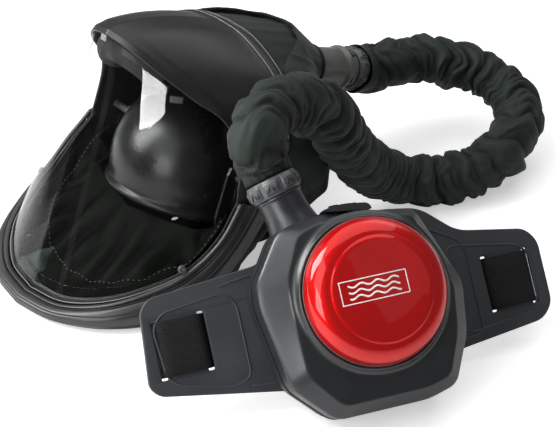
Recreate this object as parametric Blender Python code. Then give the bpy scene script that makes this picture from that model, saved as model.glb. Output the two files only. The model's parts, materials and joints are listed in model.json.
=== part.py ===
"""Powered air respirator: a head unit with a wide visor, a breathing hose in a fabric sleeve,
and a belt-mounted blower with its back pad.

World frame in metres, +Z up. The origin is the middle of the blower's foot, the flat facet it
stands on. The head unit rests on its chin frame behind the blower, and the hose joins the two.

Blower frame: +X along the belt, +Y up the face, +Z out of the face, from the cover's centre.
Head frame: +X forward, +Y to the wearer's left, +Z up, from the middle of the head.
"""
import math

import bmesh
import bpy
from mathutils import Matrix, Vector

MM = 0.001
GAP = 0.3  # clearance between neighbouring pieces, mm

# ---- placing ----
BLOWER_AT = (2.5, 22.0, 112.6)
BLOWER_YAW = 20.0
BLOWER_LEAN = 40.0
HEAD_AT = (-153.5, 317.0, 96.0)
HEAD_YAW = -138.0
HEAD_PITCH = 22.0

# ---- blower, in mm ----
HOUSING_OUTLINE = [(60, 66), (-34, 78), (-70, 70), (-99, 28), (-101, 8), (-88, -68),
                   (-54, -103), (34, -104), (63, -97), (84, -54), (91, -8)]
FACE_OUTLINE = [(52, 61), (-31, 70), (-56, 62), (-74, 27), (-76, 4), (-74, -58),
                (-48, -92), (30, -93), (54, -88), (70, -51), (77, -8)]
HOUSING_MIDDLE = Vector((-5, -15))
HOUSING_CORNER_R = 9.0
HOUSING_WALL = 3.0
HOUSING_FRONT = 3.0
HOUSING_SPLIT = -30.0
HOUSING_BACK = -62.0
COVER_R = 65.5
COVER_BASE = 7.0
COVER_RISE = 24.0
COVER_WALL = 2.0
COLLAR_R = 68.5
FILTER_OPENING_R = 60.5
FILTER_R = 56.0
FAN_AT = (0, 6)
FAN_R = 39.0
VOLUTE_R = 50.0
SHAFT_R = 2.0
BATTERY_OUTLINE = [(-30, -89.5), (58.0, -89.5), (73.2, -58.5), (-30, -58.5)]
BATTERY_BACK = -55.5
BATTERY_FRONT = -33.5
PANEL_OUTLINE = [(20, 71.8), (17, 78.5), (-4, 81.6), (-18, 81.5), (-24, 77.6)]
BUTTONS = {"power_button": (-12, 81.5), "flow_button": (5, 80.2)}
BUTTON_R = 4.5

# ---- outlet neck and hose ----
NECK_AT = (-48, 77, -32)
NECK_DIRECTION = (-0.25, 0.968, 0)
TUBE_R = 20.5
RING_R = 23.0
RING_LENGTH = 16.0
HOSE_R = 17.0
HOSE_BORE_R = 15.0
CUFF_R = 20.3
SLEEVE_R = 24.5
SLEEVE_BORE_R = 22.3
HOSE_POINTS = [(-98.5, 107, 218), (-90.5, 130, 227), (-73.5, 157, 226), (-51.5, 184, 211),
               (-29.5, 208, 178), (-7.0, 245, 123), (23.5, 298, 61), (70.5, 334, 29),
               (123.5, 348, 27), (167.5, 378, 38), (193.5, 422, 47), (192.5, 467, 55),
               (165.5, 502, 68), (129.5, 512, 77), (87.5, 507, 88), (56.5, 492, 90)]
CONNECTOR_AT = (0, 0, 84)
CONNECTOR_START = 71.0
CONNECTOR_END = 191.0

# ---- belt ----
PAD_OUTLINE = [(200, 14), (190, 27), (121, 39), (88, 68), (50, 74), (-50, 74), (-76, 47),
               (-185, 37), (-194, 28), (-200, -40), (-192, -49), (-78, -70), (-50, -76),
               (60, -76), (100, -70), (188, -60), (200, -47)]
PAD_FRONT = -64.3
PAD_BACK = -70.0
WEBBING_WIDTH = 50.0
WEBBING_THICKNESS = 1.6
WEBBING_MIDDLE = {-1: -9.5, 1: -17.0}
SLOTS = (137.5, 185.5)
SLOT_WIDTH = 6.0
SLOT_HEIGHT = 54.0

# ---- head unit, in mm: half curves from the middle to the wearer's left ear ----
BROW_EDGE = [(170, 0, 103), (161, 30, 98), (139, 57, 84), (112, 79, 69), (88, 98, 57),
             (67, 112, 26), (60, 120, -26)]
BROW_REAR = [(19, 0, 128), (18, 34, 125), (17, 66, 114), (15, 94, 97), (13, 112, 68),
             (12, 121, 25), (16, 125, -28)]
WINDOW_EDGE = [(186, 0, -165), (179, 46, -159), (155, 88, -138), (116, 116, -106),
               (92, 124, -82), (74, 127, -55), (62, 124, -32)]
JAW_EDGE = [(198, 0, -181), (190, 50, -176), (162, 96, -164), (119, 127, -145),
            (80, 136, -118), (48, 135, -78), (20, 128, -34)]
SIDE_START = 40.0
SKIRT = 8.0
BROW_WALL = 3.5
VISOR_WALL = 2.0
FRAME_WALL = 4.0
HOOD_WALL = 3.0
SEAL_WALL = 2.0
NECK_OPENING = (92.0, 74.0)
NECK_MIDDLE = 8.0
FLOOR_CLEARANCE = 6.0
DOME_AT = (14, 0, -18)
DOME_SIZE = (80.0, 76.0, 76.0)
DOME_SKIRT = 44.0
DOME_WALL = 3.0
PIVOT_AT = (32, 0, -10)
PIVOT_R = 4.0
BAND_SIZE = (74.5, 70.5)
BAND_TOP = -48.0
BAND_BOTTOM = -64.0

COLOURS = {
    "black_satin": ((0.018, 0.018, 0.019), 0.38, 0.0),
    "black_gloss": ((0.008, 0.008, 0.009), 0.12, 0.0),
    "charcoal": ((0.045, 0.047, 0.05), 0.5, 0.0),
    "pad_grey": ((0.055, 0.057, 0.062), 0.62, 0.0),
    "cover_red": ((0.55, 0.008, 0.01), 0.15, 0.35),
    "clear": ((0.85, 0.88, 0.9), 0.05, 0.0),
    "hood_fabric": ((0.012, 0.016, 0.014), 0.9, 0.0),
    "webbing": ((0.01, 0.01, 0.011), 0.8, 0.0),
    "rubber": ((0.02, 0.02, 0.02), 0.7, 0.0),
    "filter_white": ((0.75, 0.74, 0.7), 0.9, 0.0),
    "board_green": ((0.02, 0.15, 0.06), 0.5, 0.0),
    "steel": ((0.6, 0.6, 0.61), 0.3, 1.0),
}


# ---- basic tools ----
def material(name):
    if name in bpy.data.materials:
        return bpy.data.materials[name]
    colour, roughness, metallic = COLOURS[name]
    made = bpy.data.materials.new(name)
    made.use_nodes = True
    shader = made.node_tree.nodes["Principled BSDF"]
    shader.inputs["Base Color"].default_value = (*colour, 1.0)
    shader.inputs["Roughness"].default_value = roughness
    shader.inputs["Metallic"].default_value = metallic
    return made


def frame_empty(name, at, rotation):
    empty = bpy.data.objects.new(name, None)
    empty.location = Vector(at) * MM
    empty.rotation_euler = [math.radians(angle) for angle in rotation]
    bpy.context.scene.collection.objects.link(empty)
    return empty


def place(name, bm, finish, parent, at=(0, 0, 0), direction=None):
    """Make an object from bm, whose points are mm about its own origin."""
    bmesh.ops.recalc_face_normals(bm, faces=bm.faces)
    bmesh.ops.scale(bm, vec=(MM, MM, MM), verts=bm.verts)
    mesh = bpy.data.meshes.new(name)
    bm.to_mesh(mesh)
    bm.free()
    mesh.shade_smooth()
    mesh.set_sharp_from_angle(angle=math.radians(35))
    mesh.materials.append(material(finish))
    made = bpy.data.objects.new(name, mesh)
    bpy.context.scene.collection.objects.link(made)
    made.parent = parent
    made.location = Vector(at) * MM
    if direction is not None:
        made.rotation_mode = "QUATERNION"
        made.rotation_quaternion = Vector(direction).to_track_quat("Z", "Y")
    return made


def boolean(target, tool_object, operation="DIFFERENCE"):
    tool_object.hide_render = True
    tool_object.display_type = "WIRE"
    step = target.modifiers.new(tool_object.name, "BOOLEAN")
    step.operation = operation
    step.solver = "EXACT"
    step.object = tool_object


def loft(rings, closed=False):
    """Skin rings of equal point count; the ends are capped unless the path is closed."""
    bm = bmesh.new()
    rows = [[bm.verts.new(point) for point in ring] for ring in rings]
    pairs = list(zip(rows, rows[1:]))
    if closed:
        pairs.append((rows[-1], rows[0]))
    for low, high in pairs:
        for i in range(len(low)):
            j = (i + 1) % len(low)
            bm.faces.new((low[i], low[j], high[j], high[i]))
    if not closed:
        bm.faces.new(rows[0])
        bm.faces.new(rows[-1])
    return bm


def circle(radius, count, z=0.0):
    return [Vector((radius * math.cos(math.tau * i / count),
                    radius * math.sin(math.tau * i / count), z)) for i in range(count)]


def turned(profile, count=32, scale=(1.0, 1.0)):
    """Turn a closed (radius, height) profile that stays off the axis."""
    rings = []
    for i in range(count):
        angle = math.tau * i / count
        rings.append([Vector((r * math.cos(angle) * scale[0], r * math.sin(angle) * scale[1], z))
                      for r, z in profile])
    return loft(rings, closed=True)


def disc(radius, low, high, count=32):
    return loft([circle(radius, count, low), circle(radius, count, high)])


def ring(outer, inner, low, high, count=32):
    return turned([(outer, low), (outer, high), (inner, high), (inner, low)], count)


def rounded(points, radius, steps=3):
    """Round the corners of an outline, with arcs drawn as quadratic curves."""
    smooth = []
    count = len(points)
    for i in range(count):
        corner = Vector(points[i])
        before = Vector(points[i - 1]) - corner
        after = Vector(points[(i + 1) % count]) - corner
        reach = min(radius, before.length * 0.45, after.length * 0.45)
        start = corner + before.normalized() * reach
        end = corner + after.normalized() * reach
        for k in range(steps + 1):
            t = k / steps
            smooth.append(start * (1 - t) ** 2 + corner * 2 * t * (1 - t) + end * t ** 2)
    return smooth


def shrink(outline, distance, middle=HOUSING_MIDDLE):
    """Move an outline's points towards the middle by a distance."""
    return [p + (middle - p).normalized() * distance for p in outline]


def level(outline, z):
    return [Vector((p[0], p[1], z)) for p in outline]


def slab(outline, low, high):
    return loft([level(outline, low), level(outline, high)])


def block(low, high):
    outline = [(low[0], low[1]), (high[0], low[1]), (high[0], high[1]), (low[0], high[1])]
    return slab(outline, low[2], high[2])


def spline(points, per_span):
    """A Catmull-Rom curve through points."""
    points = [Vector(p) for p in points]
    padded = [points[0] * 2 - points[1]] + points + [points[-1] * 2 - points[-2]]
    curve = []
    for a, b, c, d in zip(padded, padded[1:], padded[2:], padded[3:]):
        for k in range(per_span):
            t = k / per_span
            curve.append(0.5 * ((2 * b) + (c - a) * t + (2 * a - 5 * b + 4 * c - d) * t * t
                                + (3 * b - a - 3 * c + d) * t ** 3))
    curve.append(points[-1])
    return curve


def path_frames(path):
    """Carry a side direction along a path without twisting."""
    side = Vector((1, 0, 0))
    frames = []
    for i, point in enumerate(path):
        along = (path[min(i + 1, len(path) - 1)] - path[max(i - 1, 0)]).normalized()
        side = (side - along * side.dot(along)).normalized()
        frames.append((point, side, along.cross(side)))
    return frames


def hollow_tube(path, outer, inner, count):
    """A tube with open ends along a path."""
    walls = []
    for radius in (outer, inner):
        walls.append([[point + side * (radius * math.cos(math.tau * k / count))
                       + up * (radius * math.sin(math.tau * k / count)) for k in range(count)]
                      for point, side, up in path_frames(path)])
    return loft(walls[0] + walls[1][::-1], closed=True)


def skin_sheet(grid, thickness, wrap=False):
    """Thicken a grid of points inwards, away from its outward normals."""
    rows = len(grid)
    columns = len(grid[0])

    def normal(r, c):
        left = grid[r][c - 1] if wrap or c else grid[r][c]
        right = grid[r][(c + 1) % columns] if wrap or c < columns - 1 else grid[r][c]
        across = right - left
        along = grid[min(r + 1, rows - 1)][c] - grid[max(r - 1, 0)][c]
        return across.cross(along).normalized()

    bm = bmesh.new()
    outer = [[bm.verts.new(p) for p in row] for row in grid]
    inner = [[bm.verts.new(grid[r][c] - normal(r, c) * thickness) for c in range(columns)]
             for r in range(rows)]
    spans = columns if wrap else columns - 1
    for r in range(rows - 1):
        for c in range(spans):
            d = (c + 1) % columns
            bm.faces.new((outer[r][c], outer[r][d], outer[r + 1][d], outer[r + 1][c]))
            bm.faces.new((inner[r][c], inner[r + 1][c], inner[r + 1][d], inner[r][d]))
    for r in (0, rows - 1):
        for c in range(spans):
            d = (c + 1) % columns
            bm.faces.new((outer[r][c], inner[r][c], inner[r][d], outer[r][d]))
    if not wrap:
        for c in (0, columns - 1):
            for r in range(rows - 1):
                bm.faces.new((outer[r][c], outer[r + 1][c], inner[r + 1][c], inner[r][c]))
    return bm


# ---- blower ----
def housing_outline():
    return rounded(HOUSING_OUTLINE, HOUSING_CORNER_R)


def face_outline():
    """The flat of the blower's face: a wide chamfer runs down the neck's side of it."""
    return rounded(FACE_OUTLINE, HOUSING_CORNER_R)


def make_front_housing(blower):
    outline = housing_outline()
    face = face_outline()
    shell = loft([level(outline, HOUSING_SPLIT + GAP), level(outline, -9.0),
                  level(face, HOUSING_FRONT)])
    housing = place("front_housing", shell, "charcoal", blower)
    hollow = loft([level(shrink(outline, HOUSING_WALL), HOUSING_SPLIT - 1),
                   level(shrink(outline, HOUSING_WALL), -11.0),
                   level(shrink(face, HOUSING_WALL), HOUSING_FRONT - HOUSING_WALL)])
    boolean(housing, place("front_hollow_cutter", hollow, "charcoal", blower))
    opening = disc(FILTER_OPENING_R, -12, 12, 48)
    boolean(housing, place("filter_opening_cutter", opening, "charcoal", blower))
    boolean(housing, make_neck_cutter("front_neck_cutter", blower))


def make_neck_cutter(name, blower):
    return place(name, disc(TUBE_R + GAP, -14, 30, 24), "charcoal", blower,
                 at=NECK_AT, direction=NECK_DIRECTION)


def make_rear_housing(blower):
    outline = housing_outline()
    shell = loft([level(shrink(outline, 5.0), HOUSING_BACK), level(shrink(outline, 1.5), -50.0),
                  level(outline, HOUSING_SPLIT)])
    to_world = Matrix.Rotation(math.radians(BLOWER_YAW), 4, "Z") @ Matrix.Rotation(
        math.radians(90 - BLOWER_LEAN), 4, "X")
    floor_point = to_world.inverted() @ (Vector((0, 0, 0)) - Vector(BLOWER_AT))
    floor_normal = to_world.inverted() @ Vector((0, 0, 1))
    geometry = shell.verts[:] + shell.edges[:] + shell.faces[:]
    cut = bmesh.ops.bisect_plane(shell, geom=geometry, plane_co=floor_point,
                                 plane_no=floor_normal, clear_inner=True)
    edges = [item for item in cut["geom_cut"] if isinstance(item, bmesh.types.BMEdge)]
    bmesh.ops.holes_fill(shell, edges=edges)
    housing = place("rear_housing", shell, "charcoal", blower)
    hollow = loft([level(shrink(outline, 7.0 + HOUSING_WALL), HOUSING_BACK + HOUSING_WALL),
                   level(shrink(outline, 1.5 + HOUSING_WALL), -49.0),
                   level(shrink(outline, HOUSING_WALL), HOUSING_SPLIT + 1)])
    boolean(housing, place("rear_hollow_cutter", hollow, "charcoal", blower))
    mouth = block((40, -90.0, BATTERY_BACK - 0.5), (110, -58.0, BATTERY_FRONT + 0.5))
    boolean(housing, place("battery_mouth_cutter", mouth, "charcoal", blower))
    boolean(housing, make_neck_cutter("rear_neck_cutter", blower))


def cover_height(r):
    """Height of the domed cover above its base at a radius."""
    return COVER_RISE * (1 - abs(r / COVER_R) ** 3.2) ** 0.62


def make_filter_group(blower):
    radii = [COVER_R * math.sin(math.pi / 2 * k / 6) for k in range(6, 0, -1)]
    outer = [(r, COVER_BASE + 2.0 + cover_height(r)) for r in radii] + [
        (0.6, COVER_BASE + 2.0 + COVER_RISE)]
    inner = [(0.6, COVER_BASE + COVER_RISE)] + [
        (r - COVER_WALL, COVER_BASE + cover_height(r)) for r in radii[::-1] if r > 10]
    profile = [(COVER_R, COVER_BASE)] + outer + inner
    cover = turned(profile, 40)
    bmesh.ops.remove_doubles(cover, verts=cover.verts, dist=0.01)
    dome = place("filter_cover", cover, "cover_red", blower)
    plug = disc(2.0, COVER_BASE + COVER_RISE, COVER_BASE + COVER_RISE + 1.99, 8)
    boolean(dome, place("cover_crown_plug", plug, "cover_red", blower), "UNION")
    place("cover_collar", ring(COLLAR_R, FILTER_OPENING_R, HOUSING_FRONT + GAP,
                               COVER_BASE - GAP, 48), "charcoal", blower)
    place("particulate_filter", disc(FILTER_R, -22.5, -3.0), "filter_white", blower)
    place("filter_seal", ring(FILTER_R + 3, FILTER_R - 3, -2.7, -0.9), "rubber", blower)
    place("prefilter", disc(FILTER_R, -0.6, 2.2), "filter_white", blower)
    place("filter_tray", ring(57.5, 30.0, -25.5, -23.2), "charcoal", blower)


def make_fan_group(blower):
    middle = (*FAN_AT, 0)
    floor = HOUSING_BACK + HOUSING_WALL + GAP
    cup = [(VOLUTE_R, floor), (VOLUTE_R, -26), (VOLUTE_R - 2, -26), (VOLUTE_R - 2, floor + 2),
           (3.5, floor + 2), (3.5, floor)]
    volute = place("volute", turned(cup), "black_satin", blower, at=middle)
    mouth = block((-46, 34, floor + 3), (-22, 60, -25))
    boolean(volute, place("volute_mouth_cutter", mouth, "charcoal", blower))
    place("motor", disc(16, floor + 2.3, -43.8), "steel", blower, at=middle)
    place("motor_shaft", disc(SHAFT_R, -43.4, -27.5, 16), "steel", blower, at=middle)
    blades = 11
    outline = []
    for i in range(blades):
        root = math.tau * i / blades
        tip = root + 0.45
        for angle, radius in ((root - 0.12, 9), (tip - 0.025, FAN_R), (tip + 0.025, FAN_R),
                              (root + 0.06, 10)):
            outline.append((radius * math.cos(angle), radius * math.sin(angle)))
    impeller = place("impeller", slab(outline, -41.5, -28), "black_gloss", blower, at=middle)
    plate = disc(FAN_R + 1, -43, -41)
    boolean(impeller, place("impeller_plate", plate, "black_gloss", blower, at=middle), "UNION")
    bore = disc(SHAFT_R + 0.3, -45, -26, 16)
    boolean(impeller, place("impeller_bore_cutter", bore, "black_gloss", blower, at=middle))


def make_power_group(blower):
    battery = place("battery_pack", slab(BATTERY_OUTLINE, BATTERY_BACK, BATTERY_FRONT),
                    "charcoal", blower)
    pocket = block((58.5, -78, -49), (90, -70, -40))
    boolean(battery, place("latch_pocket_cutter", pocket, "charcoal", blower))
    latch = slab([(61, -77.7), (63.4, -77.7), (67.0, -70.3), (61, -70.3)], -48.7, -40.3)
    place("battery_latch", latch, "black_satin", blower)
    place("control_board", block((47.5, 26, -57.5), (57, 46, -55.5)), "board_green", blower)
    panel = place("control_panel", slab(rounded(PANEL_OUTLINE, 3, 2), -28, -3), "black_satin",
                  blower)
    for name, (x, top) in BUTTONS.items():
        hole = disc(BUTTON_R + 0.4, -3.2, 4, 20)
        boolean(panel, place(name + "_cutter", hole, "black_satin", blower, at=(x, top, -15),
                             direction=(0, 1, 0)))
        place(name, disc(BUTTON_R, -1.7, 1.2, 20), "rubber", blower, at=(x, top, -15),
              direction=(0, 1, 0))
    for i, (x, y) in enumerate([(48, 50), (-76, 44), (-70, -62), (40, -84)], start=1):
        place("housing_screw_%d" % i, disc(3, HOUSING_BACK - 1.7, HOUSING_BACK - GAP, 12), "steel",
              blower, at=(x, y, 0))


def locking_ring(name, parent, at, direction):
    """A ribbed bayonet ring that joins the hose to a tube."""
    ribs = 12
    outer = []
    for i in range(ribs * 4):
        radius = RING_R + (1.2 if i % 4 < 2 else 0.0)
        angle = math.tau * i / (ribs * 4)
        outer.append((radius * math.cos(angle), radius * math.sin(angle)))
    inner = [p.xy for p in circle(TUBE_R + GAP, ribs * 4)]
    half = RING_LENGTH / 2
    rings = [level(outer, -half), level(outer, half), level(inner, half), level(inner, -half)]
    place(name, loft(rings, closed=True), "black_satin", parent, at=at, direction=direction)


def make_neck(blower):
    along = Vector(NECK_DIRECTION)
    place("outlet_neck", ring(TUBE_R, TUBE_R - 3, -12, 34), "charcoal", blower, at=NECK_AT,
          direction=NECK_DIRECTION)
    locking_ring("blower_locking_ring", blower, Vector(NECK_AT) + along * 35, NECK_DIRECTION)
    place("hose_cuff_blower", ring(CUFF_R, HOSE_BORE_R, 34.5, 54), "black_satin", blower,
          at=NECK_AT, direction=NECK_DIRECTION)


# ---- belt ----
def make_pad(blower):
    pad = place("back_pad", slab(rounded(PAD_OUTLINE, 8, 2), PAD_BACK, PAD_FRONT), "pad_grey",
                blower)
    for side, middle in WEBBING_MIDDLE.items():
        for number, x in enumerate(SLOTS):
            half = SLOT_WIDTH / 2
            slot = block((side * x - half, middle - SLOT_HEIGHT / 2, PAD_BACK - 2),
                         (side * x + half, middle + SLOT_HEIGHT / 2, PAD_FRONT + 2))
            boolean(pad, place("slot_cutter_%d_%d" % (side, number), slot, "pad_grey", blower))


def webbing(name, blower, path, middles):
    """A flat strap whose path runs in the plane across the belt."""
    rings = []
    for i, (x, z) in enumerate(path):
        ahead = Vector(path[min(i + 1, len(path) - 1)]) - Vector(path[max(i - 1, 0)])
        across = Vector((-ahead.y, ahead.x)).normalized() * (WEBBING_THICKNESS / 2)
        half = WEBBING_WIDTH / 2
        y = middles(x)
        rings.append([Vector((x + across.x, y - half, z + across.y)),
                      Vector((x + across.x, y + half, z + across.y)),
                      Vector((x - across.x, y + half, z - across.y)),
                      Vector((x - across.x, y - half, z - across.y))])
    place(name, loft(rings), "webbing", blower)


def make_strap(blower):
    side_path = [(20.5, -95), (70, -97), (130, -95), (180, -89), (193, -82), (190.5, -75),
                 (186.6, -71), (185.0, -65), (181, -61.8), (175, -61.4), (148, -61.4), (142.0, -61.8),
                 (138.0, -65), (136.6, -70), (132, -73.4), (120, -75), (40, -75)]
    path = [(-x, z) for x, z in side_path] + side_path[::-1]

    def middles(x):
        blend = (max(-137.0, min(137.0, x)) + 137.0) / 274.0
        return WEBBING_MIDDLE[-1] * (1 - blend) + WEBBING_MIDDLE[1] * blend

    webbing("waist_strap", blower, path, middles)
    low = middles(0) - WEBBING_WIDTH / 2
    high = middles(0) + WEBBING_WIDTH / 2
    place("buckle_tongue", block((-20, low, -99), (0.5, high, -91)), "black_satin", blower)
    place("buckle_socket", block((0.8, low - 4, -100), (20, high + 4, -90)), "black_satin", blower)
    for side, name in ((-1, "strap_keeper_left"), (1, "strap_keeper_right")):
        middle = middles(side * 100)
        bar = block((side * 95 - 6, middle - 29, -101), (side * 95 + 6, middle + 29, -90.5))
        keeper = place(name, bar, "black_satin", blower)
        gap = block((side * 95 - 8, middle - 25.6, -98.2), (side * 95 + 8, middle + 25.6, -93.5))
        boolean(keeper, place(name + "_cutter", gap, "black_satin", blower))


# ---- head unit ----
def full_curve(half):
    """Smooth a half curve and mirror it: runs from the right ear to the left ear."""
    left = spline(half, 2)
    right = [Vector((p.x, -p.y, p.z)) for p in left[:0:-1]]
    return right + left


def outward(p):
    """Outward direction of the visor's wall, square to its height."""
    if p.x <= SIDE_START:
        return Vector((0, math.copysign(1, p.y), 0))
    return Vector((p.x - SIDE_START, p.y * 1.25, 0)).normalized()


def rise(i, count):
    """Direction from the brow's edge into its skirt: up in front, back at the ears."""
    share = abs(2 * i / (count - 1) - 1)
    return Vector((-math.sin(share * math.pi / 2), 0, math.cos(share * math.pi / 2)))


def make_brow(head):
    edge = [p + outward(p) * 4.8 for p in full_curve(BROW_EDGE)]
    rear = full_curve(BROW_REAR)
    count = len(edge)
    grid = [edge]
    skirt = [p + rise(i, count) * SKIRT for i, p in enumerate(edge)]
    for k in range(7):
        t = k / 6
        row = []
        for i in range(count):
            front_share = 1 - abs(2 * i / (count - 1) - 1)
            lift = Vector((20 * front_share, 0, 17 * front_share))
            control = (skirt[i] + rear[i]) / 2 + lift
            row.append(skirt[i] * (1 - t) ** 2 + control * 2 * t * (1 - t) + rear[i] * t ** 2)
        grid.append(row)
    brow = place("brow_shell", skin_sheet(grid, BROW_WALL), "black_satin", head)
    for side in (-1, 1):
        hole = disc(PIVOT_R + 0.4, 100, 150, 16)
        boolean(brow, place("pivot_hole_cutter_%d" % side, hole, "black_satin", head, at=PIVOT_AT,
                            direction=(0, side, 0)))


def make_visor(head):
    top = full_curve(BROW_EDGE)
    low = full_curve(WINDOW_EDGE)
    count = len(top)
    grid = []
    for k in range(4):
        t = k / 3
        row = []
        for i in range(count):
            upper = top[i] + rise(i, count) * 2
            lower = low[i] - rise(i, count) * 2
            row.append(upper.lerp(lower, t))
        grid.append(row[::-1])
    place("visor", skin_sheet(grid, VISOR_WALL), "clear", head)


def make_visor_seal(head):
    low = full_curve(WINDOW_EDGE)
    count = len(low)
    grid = []
    for offset in (6.0, -2.0):
        row = [p - outward(p) * (VISOR_WALL + 3.0) + rise(i, count) * offset
               for i, p in enumerate(low)]
        grid.append(row[::-1])
    place("visor_seal", skin_sheet(grid, 2.0), "rubber", head)


def make_face_seal(head):
    """A soft fabric seal from inside the chin frame to the wearer's jaw, open over the face."""
    window = full_curve(WINDOW_EDGE)
    count = len(window)
    grid = []
    for k in range(6):
        t = k / 5
        row = []
        for i in range(4, count - 4):
            share = abs(2 * i / (count - 1) - 1)
            p = window[i]
            front = 1 - share
            start = p - outward(p) * 11 - rise(i, count) * (4 - 10 * front)
            end = Vector((36 + 58 * front, p.y * 0.74, -52 - 48 * front))
            sag = Vector((0, 0, -3 * math.sin(math.pi * t) * front))
            row.append(start.lerp(end, t) + sag)
        grid.append(row)
    place("face_seal", skin_sheet(grid, SEAL_WALL), "hood_fabric", head)


def make_chin_frame(head):
    window = full_curve(WINDOW_EDGE)
    jaw = full_curve(JAW_EDGE)
    count = len(window)
    grid = []
    for k in range(4):
        t = k / 3
        row = []
        for i in range(count):
            start = window[i] + outward(window[i]) * (FRAME_WALL + 1.2)
            start -= rise(i, count) * 1.2
            point = start.lerp(jaw[i], t) + outward(window[i]) * (5 * math.sin(math.pi * t))
            row.append(point)
        grid.append(row[::-1])
    place("chin_frame", skin_sheet(grid, FRAME_WALL), "black_satin", head)


def floor_height(x):
    """Height in the head frame of a plane just above the floor."""
    pitch = math.radians(HEAD_PITCH)
    return -(HEAD_AT[2] - FLOOR_CLEARANCE + x * math.sin(pitch)) / math.cos(pitch)


def make_hood(head):
    crown = [p + Vector((-8, -p.y * 0.01, -1)) for p in full_curve(BROW_REAR)][::-1]
    jaw = [p + Vector((-9, -p.y * 0.04, 5)) for p in full_curve(JAW_EDGE)]
    loop = crown[:-1] + jaw[1:-1]
    middle = Vector((20, 0, -20))
    grid = []
    rows = 8
    for k in range(rows):
        t = k / (rows - 1)
        row = []
        for p in loop:
            angle = math.atan2(p.y, (p.z - middle.z))
            rear = math.cos(angle / 2) ** 2
            x = NECK_MIDDLE - NECK_OPENING[0] * math.cos(angle)
            neck = Vector((x, NECK_OPENING[1] * math.sin(angle), floor_height(x)))
            first = p + Vector((-56 * rear - 12, p.y * 0.10, 30 * rear + 2))
            second = neck + Vector((-111 * rear, neck.y * 0.75 * (0.3 + rear), 76 * rear + 8))
            row.append(p * (1 - t) ** 3 + first * 3 * t * (1 - t) ** 2
                       + second * 3 * t * t * (1 - t) + neck * t ** 3)
        grid.append(row)
    hood = place("fabric_hood", skin_sheet(grid, HOOD_WALL, wrap=True), "hood_fabric", head)
    hole = disc(TUBE_R + 1.0, 60, 150, 24)
    boolean(hood, place("hood_port_cutter", hole, "hood_fabric", head, at=CONNECTOR_AT,
                        direction=(-1, 0, 0)))


def make_head_connector(head):
    back = Vector((-1, 0, 0))
    tube = [(TUBE_R - 3, CONNECTOR_START), (TUBE_R, CONNECTOR_START), (TUBE_R, 136), (27, 136),
            (27, 139), (TUBE_R, 139), (TUBE_R, 171), (RING_R + 1, 171), (RING_R + 1, 175),
            (TUBE_R, 175), (TUBE_R, CONNECTOR_END), (TUBE_R - 3, CONNECTOR_END)]
    place("rear_connector", turned(tube), "black_satin", head, at=CONNECTOR_AT, direction=back)
    locking_ring("head_locking_ring", head, Vector(CONNECTOR_AT) + back * 192, back)
    place("hose_cuff_head", ring(CUFF_R, HOSE_BORE_R, CONNECTOR_END + 0.5, 212), "black_satin",
          head, at=CONNECTOR_AT, direction=back)


def make_air_duct(head):
    path = spline([(-65, 0, 93), (-30, 0, 103), (40, 0, 110), (90, 0, 107)], 4)
    rings = []
    for half_width, half_height in ((21, 4.5), (19, 3.0)):
        wall = []
        for i, p in enumerate(path):
            along = (path[min(i + 1, len(path) - 1)] - path[max(i - 1, 0)]).normalized()
            up = Vector((0, 1, 0)).cross(along)
            across = Vector((0, 1, 0))
            wall.append([p + across * (half_width * x) + up * (half_height * y)
                         for x, y in ((-1, -0.4), (-1, 0.4), (-0.8, 1), (0.8, 1), (1, 0.4),
                                      (1, -0.4), (0.8, -1), (-0.8, -1))])
        rings.append(wall)
    place("air_duct", loft(rings[0] + rings[1][::-1], closed=True), "black_satin", head)


def make_air_diffuser(head):
    """A padded outlet under the brow that spreads the air over the inside of the visor."""
    section = [(7, -3), (9, -14), (20, -24), (38, -25), (50, -17), (52, -6), (30, -2)]
    rings = []
    for p in full_curve(BROW_EDGE):
        if abs(p.y) < 82:
            rings.append([p - outward(p) * depth + Vector((0, 0, height))
                          for depth, height in section])
    place("air_diffuser", loft(rings), "pad_grey", head)


def make_headgear(head):
    long, wide, tall = DOME_SIZE
    steps = 7
    arc = [(math.cos(math.pi / 2 * k / steps), math.sin(math.pi / 2 * k / steps))
           for k in range(steps)]
    low = -DOME_SKIRT / tall
    wall = DOME_WALL / tall
    profile = [(1.035, low - 0.03), (1.045, low + 0.02), (1.005, low + 0.05)] + arc
    profile += [(0.03, 1.0), (0.03, 1.0 - wall)]
    profile += [(max(r * (1 - wall), 0.05), z * (1 - wall)) for r, z in arc[::-1]]
    profile += [(1 - wall, low - 0.03)]
    shell = turned([(r, z * tall) for r, z in profile], 28, (long, wide))
    origin = Vector(PIVOT_AT)
    bmesh.ops.translate(shell, vec=Vector(DOME_AT) - origin, verts=shell.verts)
    dome = place("head_shell", shell, "black_gloss", head, at=origin)
    plug = disc(4.0, tall * (1 - wall) + 0.3, tall - 0.3, 8)
    boolean(dome, place("dome_crown_plug", plug, "black_gloss", head, at=DOME_AT), "UNION")
    notch = block((-80, -31, -75), (-50, 31, BAND_TOP + 3))
    boolean(dome, place("ratchet_notch_cutter", notch, "black_gloss", head))
    for side, name in ((1, "left"), (-1, "right")):
        knob = disc(PIVOT_R, 86.0, 129.5, 16)
        piece = place("pivot_knob_" + name, knob, "black_satin", head, at=origin,
                      direction=(0, side, 0))
        cap = disc(11, 127.0, 134, 20)
        boolean(piece, place("pivot_cap_" + name, cap, "black_satin", head, at=origin,
                             direction=(0, side, 0)), "UNION")
        rings = []
        for depth in (82.5, 85.5):
            rings.append([Vector((p.x, side * depth, p.y)) for p in
                          rounded([(-13, -56), (13, -56), (13, 12), (-13, 12)], 10, 2)])
        place("side_arm_" + name, loft(rings), "black_satin", head, at=origin)


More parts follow.
